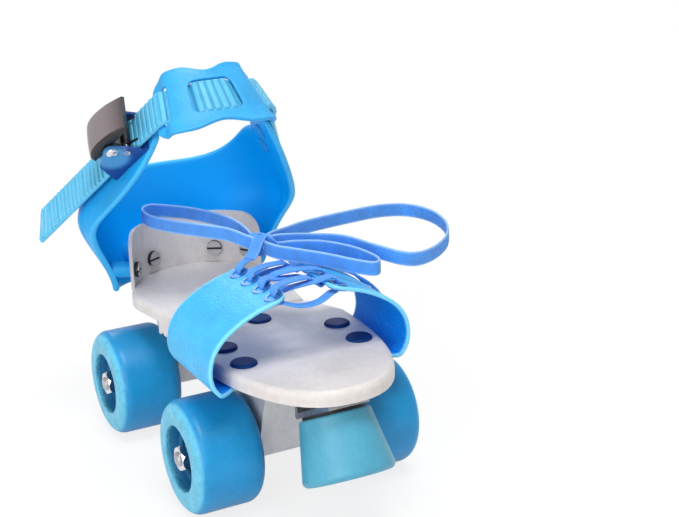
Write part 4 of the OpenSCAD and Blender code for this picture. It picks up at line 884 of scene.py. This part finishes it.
STRAP_RINGS, STRAP_END_R, STRAP_CORNER = 1100, 2.5, (0.6, 0.5)
CROWN_RISE, CROWN_RUN, SETTLE_RUN = 2.1, 3.4, 8
TAIL_SKEW, TAIL_SLANT, SNUG, SNUG_RUN = 0.4, 14, 0.03, 4
GROOVE, RIB_EDGE, RIB_END, RIB_INSET, RIB_SIDE = 0.16, 0.16, 0.86, 0.25, 0.9
END_WIDE, END_THICK, DIVE_INSET, SETTLE_GAP = 0.8, 0.4, 0.5, 0.1


def arch(f):
    """Cubic Bezier arch from the right arm's plane to the left one's, lowered in its middle by a bump that
    is flat at both ends."""
    f = f[..., None]
    g = 1 - f
    a, b, c, d = ARCH
    bow = g**3 * a + 3 * g**2 * f * b + 3 * g * f**2 * c + f**3 * d
    return bow - 16 * ARCH_DROP * (f * g) ** 2 * UP


ARCH_LEN = float(run_along(arch(np.linspace(0, 1, 41)))[-1])
ARCH_TO = ARCH_FROM + ARCH_LEN
PAD_MID = ARCH_FROM + ARCH_LEN / 2 - 2
SETTLE_FROM = ARCH_TO + 2
STRAP_END = ARCH_TO + LEFT_RUN


def on_strap(s, r, h):
    """Point at the run s along the strap, the step r to its side and the lift h off its middle layer:
    straight along the arms and on the Bezier arch between them, the sides turning evenly from one arm's to
    the other's."""
    s, r, h = np.broadcast_arrays(s, r, h)
    share = np.clip((s - ARCH_FROM) / ARCH_LEN, 0, 1)
    f = share[..., None]
    g = 1 - f
    a, b, c, d = ARCH
    bow = g**2 * (b - a) + 2 * g * f * (c - b) + f**2 * (d - c)
    way = unit(3 * bow - 32 * ARCH_DROP * f * g * (1 - 2 * f) * UP)
    side = square_to(mix(STRAP_SIDE, FLIP * STRAP_SIDE, f), way)
    past = s - np.clip(s, ARCH_FROM, ARCH_TO)
    return arch(share) + way * past[..., None] + r[..., None] * side + h[..., None] * np.cross(way, side)


def pad_lift(d, strap_t, pad_t):
    """Lift of the pad at a distance from its middle: over the strap at its window, under it past its
    slots."""
    low = -strap_t / 2 - LIE - pad_t / 2
    return mix(PAD_HIGH, low, ease((d - SLOT_NEAR) / (SLOT_FAR - SLOT_NEAR)))


def pad_edge(d, lobe, end):
    """Half width of the pad: eased from its waist to its lobes, then rounded off to its ends by the square
    root of one less a power of the way there."""
    far = np.clip((d - LOBE_AT) / (PAD_REACH - LOBE_AT), 0, 1)
    waist = mix(lobe - WAIST, lobe, ease(d / LOBE_AT))
    return np.where(d < LOBE_AT, waist, mix(end, lobe, np.sqrt(1 - far**2.5)))


def walled(faces, kept):
    """Closed sheet of the kept cells between an upper and a lower grid of points, every open side walled."""
    upper, lower = (face.reshape(-1, 3) for face in faces)
    index = np.arange(len(upper)).reshape(faces[0].shape[:2])
    low = len(upper)
    i, j = np.nonzero(kept)
    around = np.pad(kept, 1)
    top = np.stack([index[i, j], index[i + 1, j], index[i + 1, j + 1], index[i, j + 1]], -1)
    quads = [top, low + top[:, ::-1]]
    sides = (
        ((0, -1), (0, 0), (1, 0)),
        ((0, 1), (1, 1), (0, 1)),
        ((-1, 0), (0, 1), (0, 0)),
        ((1, 0), (1, 0), (1, 1)),
    )
    for (di, dj), a, b in sides:
        bare = ~around[i + 1 + di, j + 1 + dj]
        p, q = (index[i[bare] + ci, j[bare] + cj] for ci, cj in (a, b))
        quads.append(np.stack([q, p, low + p, low + q], -1))
    quads = np.vstack(quads)
    used, order = np.unique(quads, return_inverse=True)
    return outward(np.vstack([upper, lower])[used], order.reshape(quads.shape), [])


class SKATE_OT_strap(bpy.types.Operator):
    """Ribbed ankle strap and its instep pad"""

    bl_idname = "skate.strap"
    bl_label = "Strap and pad"

    def execute(self, context):
        self.strap()
        self.pad()
        return {"FINISHED"}

    def strap(self):
        """Ribbed band: a rounded strip whose upper face rises by eased steps to broad ribs between narrow
        grooves. It dives under the pad, swells up in the window and lies down on the left arm; its free end
        is slanted."""
        wide, thick, rib, pitch, pad_t = mm("strap_w", "strap_t", "rib_h", "rib_pitch", "pad_t")
        start = TAIL_RUN + TAIL_CUT
        s = np.linspace(start, STRAP_END, STRAP_RINGS)[:, None]
        d = np.abs(s - PAD_MID)
        under = PAD_HIGH - pad_t / 2 - LIE - thick / 2 - rib
        dive = mix(under, 0, ease((d - SLOT_NEAR - DIVE_INSET) / (SLOT_FAR - SLOT_NEAR - 2 * DIVE_INSET)))
        crown = CROWN_RISE * ease((WINDOW_HALF - LIE - d) / CROWN_RUN)
        settle = mix(0, -STRAP_LIFT + thick / 2 + SETTLE_GAP, ease((s - SETTLE_FROM) / SETTLE_RUN))
        shift = np.where(d < PAD_REACH, dive + crown, settle)
        last = start + math.floor((STRAP_END - start - TAIL_CUT) / pitch) * pitch
        phase = np.mod((s - start) / pitch, 1)
        fall = 1 - ease((phase - RIB_END) / (1 - RIB_END))
        ribs = rib * ease((phase - GROOVE) / RIB_EDGE) * fall * (s < last)
        end = np.minimum(np.minimum(s - start, STRAP_END - s) / STRAP_END_R, 1)
        narrow = np.sqrt(np.clip(1 - (1 - end) ** 2, 0.02, 1))
        half, face, (corner_r, corner_h) = wide / 2, thick / 2, STRAP_CORNER
        x, y, flat = half - corner_r, face - corner_h, half - 2 * corner_r
        ring = np.vstack([
            arc((-x, -y), STRAP_CORNER, 180, 270, 5),
            np.linspace((-flat, -face), (flat, -face), 9),
            arc((x, -y), STRAP_CORNER, 270, 360, 5),
            arc((x, y), STRAP_CORNER, 0, 90, 5),
            np.linspace((flat, face), (-flat, face), 15),
            arc((-x, y), STRAP_CORNER, 90, 180, 5),
        ])
        r, h = ring.T
        raised = ease((half - RIB_INSET - np.abs(r)) / RIB_SIDE) * (h > 0)
        skew = TAIL_SKEW * np.maximum(0, 1 - (s - TAIL_RUN) / TAIL_SLANT)
        reach = r * (mix(END_WIDE, 1, narrow) + SNUG * ease((PAD_REACH + SNUG_RUN - d) / SNUG_RUN))
        lift = shift + h * mix(END_THICK, 1, narrow) + ribs * raised * narrow
        skin = solid(on_strap(s + skew * r * narrow, reach, lift))
        obj = piece("strap_moulding", [skin], "heel", "ladder_strap", "aqua_strap", 60)
        # Painted shade: the grooves between the ribs are blended towards a darker blue.
        give_value(obj, "groove", (1 - ribs / rib) * (raised > 0.5))
        tinted("aqua_strap", "groove", 0.55, GROOVE_SHADE)

    def pad(self):
        """Pad: a grid of columns along the strap and rows across it, two faces a thickness apart, the cells
        of the window and both slots left out. The window's corners are quarter circles, and subdivision
        rounds all edges."""
        pad_t, wide, strap_t, lobe = mm("pad_t", "strap_w", "strap_t", "pad_half_w")
        window_r, slot_r = wide / 2 + WINDOW_GAP, wide / 2 + SLOT_GAP
        corner = WINDOW_HALF - WINDOW_CORNER * (1 - np.sin(np.linspace(0, math.pi / 2, 5)))
        runs = ((WINDOW_HALF, SLOT_OPEN, 8), (SLOT_OPEN, SLOT_FAR, 6), (SLOT_FAR, PAD_REACH, 7))
        outer = [np.linspace(*ends)[1:] for ends in runs]
        half = np.concatenate([np.linspace(0, corner[0], 7), corner[1:], *outer])
        run = np.concatenate([-half[:0:-1], half])
        d = np.abs(run)[:, None]
        edge = pad_edge(d, lobe, wide / 2 + PAD_END)
        turn = np.clip((d - corner[0]) / WINDOW_CORNER, 0, 1)
        cut = WINDOW_CORNER * (1 - np.sqrt(1 - turn**2)) * (1 - ease((d - WINDOW_HALF) / CORNER_FADE))
        inner = (window_r - cut) * np.linspace(0, 1, WINDOW_ROWS + 1)
        side = np.hstack([inner, np.full(d.shape, slot_r), mix(slot_r, edge, np.array(PAD_ROWS))])
        r = np.hstack([-side[:, :0:-1], side])
        lift = pad_lift(d, strap_t, pad_t)
        bead = BEAD * np.exp(-(((edge - np.abs(r)) / BEAD_W) ** 2))
        at = PAD_MID + run[:, None]
        faces = [on_strap(at, r, lift + pad_t / 2 + bead), on_strap(at, r, lift - pad_t / 2)]
        column = 0.5 * np.abs(run[1:] + run[:-1])[:, None]
        row = np.abs(np.arange(r.shape[1] - 1) + 0.5 - (r.shape[1] - 1) / 2)
        window = (column < WINDOW_HALF) & (row < WINDOW_ROWS)
        slots = (column > SLOT_OPEN) & (column < SLOT_FAR) & (row < WINDOW_ROWS + 1)
        skin = walled(faces, ~(window | slots))
        obj = piece("pad_moulding", [skin], "heel", "strap_pad", "blue_pad", 180)
        rounding = obj.modifiers.new("rounding", "SUBSURF")
        rounding.levels = rounding.render_levels = 2


# Buckle lever and its pin: the lever's lines are in shares of its length from the pin

EAR_AT, EAR_FROM, EAR_TO = (5.0, 0.0, 11.6), 5.6, 10.4
LEVER_PIN, LEVER_LONG = np.array([8.0, 13.8]), 28.5
LEVER_LINE = [
    [-0.4, 0.112], [-0.365, 0.19], [-0.228, 0.267], [0, 0.298], [0.281, 0.267], [0.474, 0.211],
    [0.618, 0.154],
]
LEVER_SKIRT = [[-0.372, 0.077], [-0.21, 0.056], [0.316, 0.063], [0.582, 0.084]]
LEVER_WALL, LEVER_PLATE, LEVER_CORNER, LEVER_CROWN, LEVER_GAP = 1.8, 2.1, 1.1, 0.5, 0.1
LEVER_EDGE, LEVER_FILLET = 0.3, 0.6
CORNER_POINTS, CROWN_POINTS = 6, 13
CHEEK_BORE, CHEEK_R, CHEEK_EDGE = 1.6, 3.7, 0.5
PIN_R, PIN_REACH, DOME_R, DOME_H = 1.5, 2.25, 3.1, 1.3


def at_buckle(x, y, z):
    """Point in the buckle's frame: x up the strap, y to its side, z off the arm."""
    x, y, z = np.broadcast_arrays(x, y, z)
    return BUCKLE_AT + x[..., None] * STRAP_UP + y[..., None] * STRAP_SIDE + z[..., None] * ARM_OUT


class SKATE_OT_lever(bpy.types.Operator):
    """Buckle lever and its pin"""

    bl_idname = "skate.lever"
    bl_label = "Buckle lever"

    def execute(self, context):
        strap_half = mm("strap_w")[0] / 2
        self.lever(strap_half + LEVER_GAP)
        self.pin(strap_half + PIN_REACH)
        return {"FINISHED"}

    def lever(self, half):
        """Lever: a plate with a crowned top carried along its bent side view, with walls down to a lower line
        and a round cheek at the pin on each side. A ring point lies d in from the plate's top along its
        normal, or blended by g towards the lower line straight below."""
        top = through(LEVER_PIN + LEVER_LONG * np.array(LEVER_LINE), 8)
        skirt = LEVER_PIN + LEVER_LONG * np.array(LEVER_SKIRT)
        foot = np.stack([top[:, 0], np.interp(top[:, 0], *skirt.T)], -1)
        c, inner = LEVER_CORNER, half - LEVER_WALL
        y = np.linspace(-half + c, half - c, CROWN_POINTS + 2)[1:-1]
        crown = np.stack([y, -LEVER_CROWN * (1 - (y / half) ** 2), 0 * y], -1)
        corner = np.pad(arc((half - c, c), c, 270, 360, CORNER_POINTS), ((0, 0), (0, 1)))
        wall = np.array([
            [half, c, 0.5], [half, c, 0.94], [half - LEVER_EDGE, c, 1],
            [inner + LEVER_EDGE, c, 1], [inner, c, 0.94], [inner, LEVER_PLATE, 0],
        ])
        flat = inner - LEVER_FILLET
        under = np.linspace((flat, LEVER_PLATE, 0), (-flat, LEVER_PLATE, 0), 7)
        other = [-1, 1, 1]
        ring = np.vstack([(corner * other)[::-1], crown, corner, wall, under, (wall * other)[::-1]])
        d, g = ring[:, 1:2], ring[:, 2:]
        x, z = np.moveaxis(mix(top[:, None] + d * right_of(top)[:, None], foot[:, None], g), -1, 0)
        parts = [solid(at_buckle(x, ring[:, 0], z))]
        near = arc((CHEEK_R, CHEEK_EDGE), CHEEK_EDGE, 270, 360, 4)
        far = arc((CHEEK_R, LEVER_WALL - CHEEK_EDGE), CHEEK_EDGE, 0, 90, 4)
        cheek = np.vstack([[[CHEEK_BORE, 0]], near, far, [[CHEEK_BORE, LEVER_WALL]]])
        for sign in (-1, 1):
            at = at_buckle(LEVER_PIN[0], sign * inner, LEVER_PIN[1])
            parts.append(turned(cheek, 40, at, STRAP_UP, ARM_OUT, sign * STRAP_SIDE, True))
        obj = piece("lever_moulding", parts, "buckle_lever", "buckle_lever", "black_lever")
        # Painted sheen: the top of the lever is blended towards a warm grey, most in the middle of its
        # length, standing in for the reflection along its top face.
        shine = np.zeros(x.shape)
        on_top = slice(CORNER_POINTS - 1, CORNER_POINTS + CROWN_POINTS + 1)
        shine[:, on_top] = np.sin(np.linspace(0.3, math.pi - 0.2, len(x)))[:, None]
        give_value(obj, "crown", shine)
        tinted("black_lever", "crown", 0.8, CROWN_SHEEN)

    def pin(self, reach):
        """Pin: a lathe profile of a plain shank with a domed head, a quarter ellipse, against each ear."""
        a = np.linspace(0.05, math.pi / 2, 10)
        dome = np.stack([DOME_R * np.sin(a), reach + DOME_H * np.cos(a)], -1)
        profile = np.vstack([dome * [1, -1], [[PIN_R, -reach], [PIN_R, reach]], dome[::-1]])
        at = at_buckle(LEVER_PIN[0], 0.0, LEVER_PIN[1])
        skin = turned(profile, 40, at, STRAP_UP, ARM_OUT, STRAP_SIDE)
        piece("pin_domes", [skin], "heel", "buckle_pin", "zinc_steel", finish="bright_chrome")


# Toe flaps

FLAP_FROM, FLAP_LEN, FLAP_TAB = 28.0, 51.0, (38.0, 73.0)
FLAP_TOP, FLAP_TILT, FLAP_CORNER = np.array([11.0, 31.5]), math.radians(16.7), 6.0
FLAP_STEPS, TAB_RUN, TAB_FADE = 40, 14, 12
FLAP_TIP = ((0.9, 0.35), (0.6, 0.7), (0.2, 0.85))
DECK_T, RIM_H, DECK_GAP = 1.6, 6.5, 0.07


def flap_line(t):
    """Side of a flap as seen along the foot: from under the deck, down round its rim and up over the foot."""
    under, dip = -DECK_T - DECK_GAP - t / 2, -RIM_H - LIE - t / 2
    flat = [[y, under] for y in (23.4, 27.4, 30.4, 31.8, 32.6)]
    bend = [[33.3, -0.14], [33.95, -0.52], [34.5, -1.15], [35.1, -2.3], [35.8, -3.6], [36.6, -4.7]]
    foot = [[37.8, -0.4], [39.6, -0.9], [42, -0.9], [45.4, -0.1]]
    over = [[48.6, -3], [49.5, 3.5], [47.6, 11], [42.6, 17.6], [34.4, 23.2], [26, 27]]
    slope = np.array([math.cos(FLAP_TILT), -math.sin(FLAP_TILT)])
    top = [FLAP_TOP + k * slope for k in (10, 5, 0)]
    return through(np.vstack([flat, np.add(bend, [0, under]), np.add(foot, [0, dip]), over, top]), 8)


class SKATE_OT_flaps(bpy.types.Operator):
    """Toe flaps"""

    bl_idname = "skate.flaps"
    bl_label = "Toe flaps"

    def execute(self, context):
        """Flap: a rounded strip across the foot carried along the bent side line; its ends narrow to the tab
        under the deck and round off at the laced edge."""
        t = mm("flap_t")[0]
        # Painted shade: the inner face of each flap is a deeper blue.
        tinted("blue_flap", "inside", 1.0, colours().flap_inside_shade)
        # Painted highlight: a paler cyan along the flaps' cut edges.
        tinted("blue_flap", "edge", 0.75, EDGE_HIGHLIGHT)
        line = flap_line(t)
        run = run_along(line)
        left = np.minimum(run[-1] - run, FLAP_CORNER)
        cut = FLAP_CORNER - np.sqrt(FLAP_CORNER**2 - (FLAP_CORNER - left) ** 2)
        tab = 1 - ease((run - TAB_RUN) / TAB_FADE)
        low = mix(FLAP_FROM, FLAP_TAB[0], tab) + cut
        wide = mix(FLAP_FROM + FLAP_LEN, FLAP_TAB[1], tab) - cut - low
        w, e = strip(wide, t, 0.48 * t, FLAP_STEPS)
        x = low[:, None] + w
        y, z = np.moveaxis(line[:, None] + (t / 2 - e)[:, None] * right_of(line)[:, None], -1, 0)
        rings = tipped(np.stack([x, y, z], -1), FLAP_TIP)
        rings[-len(FLAP_TIP) :, :, 0] = x[-1]
        inside = np.broadcast_to(ease(e / t), rings.shape[:2])
        # Points on the flaps' cut edges, which take the painted highlight.
        edge = np.zeros(rings.shape[:2])
        edge[:, :STRIP_TURN] = edge[:, STRIP_TURN + FLAP_STEPS : 2 * STRIP_TURN + FLAP_STEPS] = 1
        for name, sign in (("left", 1), ("right", -1)):
            skin = solid(rings * [1, sign, 1])
            obj = piece(f"flap_{name}", [skin], "toe", f"toe_flap_{name}", "blue_flap", 60)
            give_value(obj, "inside", inside)
            give_value(obj, "edge", edge)
        return {"FINISHED"}


# Wheels and toe stop

TRACK_HALF, AXLE_Z, AXLE_X = 57.4, -46.6, 51.0
SIDE_FROM, SIDE_FULL = TRACK_HALF - 3.1, TRACK_HALF - 1.2
SEAT_R, LAND_R, SEAT_W, SEAT_MOUTH, RECESS = 11.01, 9.01, 7.01, 2.0, 7.0
RECESS_FOOT_R, FOOT_EDGE, LIP_R, LIP_EDGE = 13.0, 0.9, 16.4, 1.0
WHEEL_STEPS, RECESS_R, RECESS_FADE = 128, 16.2, 1.5
STOP_AT, STOP_LEAN = np.array([95.5, 0, -16]), math.radians(27)
STOP_TOP, STOP_TALL, STOP_TOP_R, STOP_FOOT_R = -3.92, 29.0, 16.5, 21.0
STOP_TOP_EDGE, STOP_FOOT_EDGE = 1.2, 2.6
STOP_BORE, STOP_SINK_R, STOP_SINK, SINK_EDGE = 4.01, 9.0, 9.0, 0.6


class SKATE_OT_wheels(bpy.types.Operator):
    """Wheels"""

    bl_idname = "skate.wheels"
    bl_label = "Wheels"

    def execute(self, context):
        """Wheel: a closed lathe profile with bearing seats, a deep recess outside and rounded shoulders."""
        dress_wheels_finish()
        diameter, w, s = mm("wheel_d", "wheel_w", "shoulder_r")
        r, inner, deep = diameter / 2, SEAT_MOUTH + SEAT_W, w - RECESS
        profile = np.vstack([
            [[SEAT_R + 1.6, 0], [SEAT_R + 1.4, 0.02], [SEAT_R, SEAT_MOUTH], [SEAT_R, inner]],
            [[LAND_R, inner], [LAND_R, deep - SEAT_W], [SEAT_R, deep - SEAT_W]],
            [[SEAT_R, deep + 0.3], [RECESS_FOOT_R + 0.2, deep + 0.4]],
            arc((RECESS_FOOT_R, deep + 0.4 + FOOT_EDGE), FOOT_EDGE, 290, 360, 5),
            [[LIP_R - 1.5, w - 2.4], [LIP_R - LIP_EDGE, w - 1.2]],
            arc((LIP_R, w - LIP_EDGE), LIP_EDGE, 180, 90, 7),
            np.linspace((LIP_R + 0.8, w), (r - s - 0.3, w), 6),
            arc((r - s, w - s), s, 90, 0, 16),
            np.linspace((r, w - s - 1), (r, s + 1), 8),
            arc((r - s, s), s, 0, -90, 16),
        ])
        # Painted shade: points nearer the axle than the recess's lip are blended to a dark blue.
        recess = np.clip((RECESS_R - profile[:, 0]) / RECESS_FADE, 0, 1)
        tinted("blue_wheel", "recess", 0.8, RECESS_SHADE)
        for end, x in (("rear", -AXLE_X), ("front", AXLE_X)):
            for side, sign in (("right", -1), ("left", 1)):
                name = f"wheel_{end}_{side}"
                at = np.array([x, sign * (TRACK_HALF - w), AXLE_Z])
                skin = turned(profile, WHEEL_STEPS, at, ALONG, UP, sign * ACROSS, True)
                obj = piece(f"tyre_{end}_{side}", [skin], name, name, "blue_wheel")
                give_value(obj, "recess", np.repeat(recess, WHEEL_STEPS))
        return {"FINISHED"}


class SKATE_OT_stop(bpy.types.Operator):
    """Toe stop"""

    bl_idname = "skate.stop"
    bl_label = "Toe stop"

    def execute(self, context):
        """Toe stop: a closed lathe profile, wider at its foot, on the axis leaning with its ramp."""
        ax = np.array([math.cos(STOP_LEAN), 0, math.sin(STOP_LEAN)])
        az = np.array([-math.sin(STOP_LEAN), 0, math.cos(STOP_LEAN)])
        top, foot, top_r, foot_r = STOP_TOP, STOP_TOP - STOP_TALL, STOP_TOP_R, STOP_FOOT_R
        profile = np.vstack([
            [[STOP_BORE, top]],
            arc((top_r - STOP_TOP_EDGE, top - STOP_TOP_EDGE), STOP_TOP_EDGE, 90, 8, 6),
            np.linspace((top_r + 0.1, top - 2), (foot_r - 0.05, foot + 3.2), 10),
            arc((foot_r - STOP_FOOT_EDGE, foot + STOP_FOOT_EDGE), STOP_FOOT_EDGE, 5, -90, 9),
            [[STOP_SINK_R + SINK_EDGE, foot]],
            arc((STOP_SINK_R + SINK_EDGE, foot + SINK_EDGE), SINK_EDGE, 270, 180, 4),
            [[STOP_SINK_R, foot + STOP_SINK], [STOP_BORE, foot + STOP_SINK]],
        ])
        skin = turned(profile, 120, STOP_AT, ax, ACROSS, az, True)
        piece("stop_moulding", [skin], "toe", "toe_stop", "aqua_stop")
        return {"FINISHED"}


# Pieces that keep their solids

NODE_FINISHES = {
    "deck_enamel": ["heel_plate", "toe_plate", "rear_truck_rivets", "front_truck_rivets"],
    "truck_steel": ["rear_truck", "front_truck"],
    "zinc_steel": [
        "slider_guide", "clamp_bolt", "clamp_wing_nut", "rear_axle", "front_axle", "length_slider",
        "toe_stop_bracket", "toe_stop_bolt", "toe_stop_nut", "flap_washers",
    ],
    "buckle_steel": ["buckle_base"],
    "bright_chrome": [
        "rear_axle_nuts", "front_axle_nuts", "rear_bearing_races", "front_bearing_races",
        "shell_square_washers", "shell_nuts", "buckle_rivets", "pawl_pin",
    ],
    "dark_steel": [
        "rear_axle_washers", "front_axle_washers", "rear_spacers", "front_spacers", "bearings_rear_right",
        "bearings_rear_left", "bearings_front_right", "bearings_front_left", "pawl_spring", "ratchet_pawl",
    ],
    "bolt_steel": ["shell_bolts"],
    "dark_blue_rivet": ["flap_rivets", "slider_rivet"],
    "blue_pad": ["strap_rivets"],
    "blue_eyelet": ["lace_eyelets"],
    "black_rubber": ["toe_stop_washer"],
    "black_aglet": ["lace_aglets"],
}


class SKATE_OT_metalwork(bpy.types.Operator):
    """Finishes of the pieces that keep their solids"""

    bl_idname = "skate.metalwork"
    bl_label = "Metalwork"

    def execute(self, context):
        dress_buckle_finish()
        dress_bolt_finish()
        for name, nodes in NODE_FINISHES.items():
            for node in nodes:
                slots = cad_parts[node].data.materials
                slots.clear()
                slots.append(finishes[name])
        return {"FINISHED"}


class SKATE_PT_panel(bpy.types.Panel):
    """Sizes, colours and pieces of the skate"""

    bl_idname = "SKATE_PT_panel"
    bl_label = "Roller skate"
    bl_space_type = "VIEW_3D"
    bl_region_type = "UI"
    bl_category = "Skate"

    def draw(self, context):
        for group in (context.scene.skate_sizes, context.scene.skate_colours):
            box = self.layout.box()
            for key in group.__annotations__:
                box.prop(group, key)
        for operator in OPERATORS:
            self.layout.operator(operator.bl_idname)


OPERATORS = (
    SKATE_OT_stage,
    SKATE_OT_lace,
    SKATE_OT_shell,
    SKATE_OT_strap,
    SKATE_OT_lever,
    SKATE_OT_flaps,
    SKATE_OT_wheels,
    SKATE_OT_stop,
    SKATE_OT_metalwork,
)
CLASSES = (SkateSizes, SkateColours, *OPERATORS, SKATE_PT_panel)


def register():
    """Registers the classes and hangs both groups of properties on the scene."""
    for c in CLASSES:
        bpy.utils.register_class(c)
    bpy.types.Scene.skate_sizes = PointerProperty(type=SkateSizes)
    bpy.types.Scene.skate_colours = PointerProperty(type=SkateColours)


def unregister():
    """Takes the properties and classes away again."""
    del bpy.types.Scene.skate_colours
    del bpy.types.Scene.skate_sizes
    for c in reversed(CLASSES):
        bpy.utils.unregister_class(c)


def main():
    """Builds everything in order."""
    register()
    bpy.ops.skate.stage()
    bpy.ops.skate.lace()
    bpy.ops.skate.shell()
    bpy.ops.skate.strap()
    bpy.ops.skate.lever()
    bpy.ops.skate.flaps()
    bpy.ops.skate.wheels()
    bpy.ops.skate.stop()
    bpy.ops.skate.metalwork()


if __name__ == "__main__":
    main()
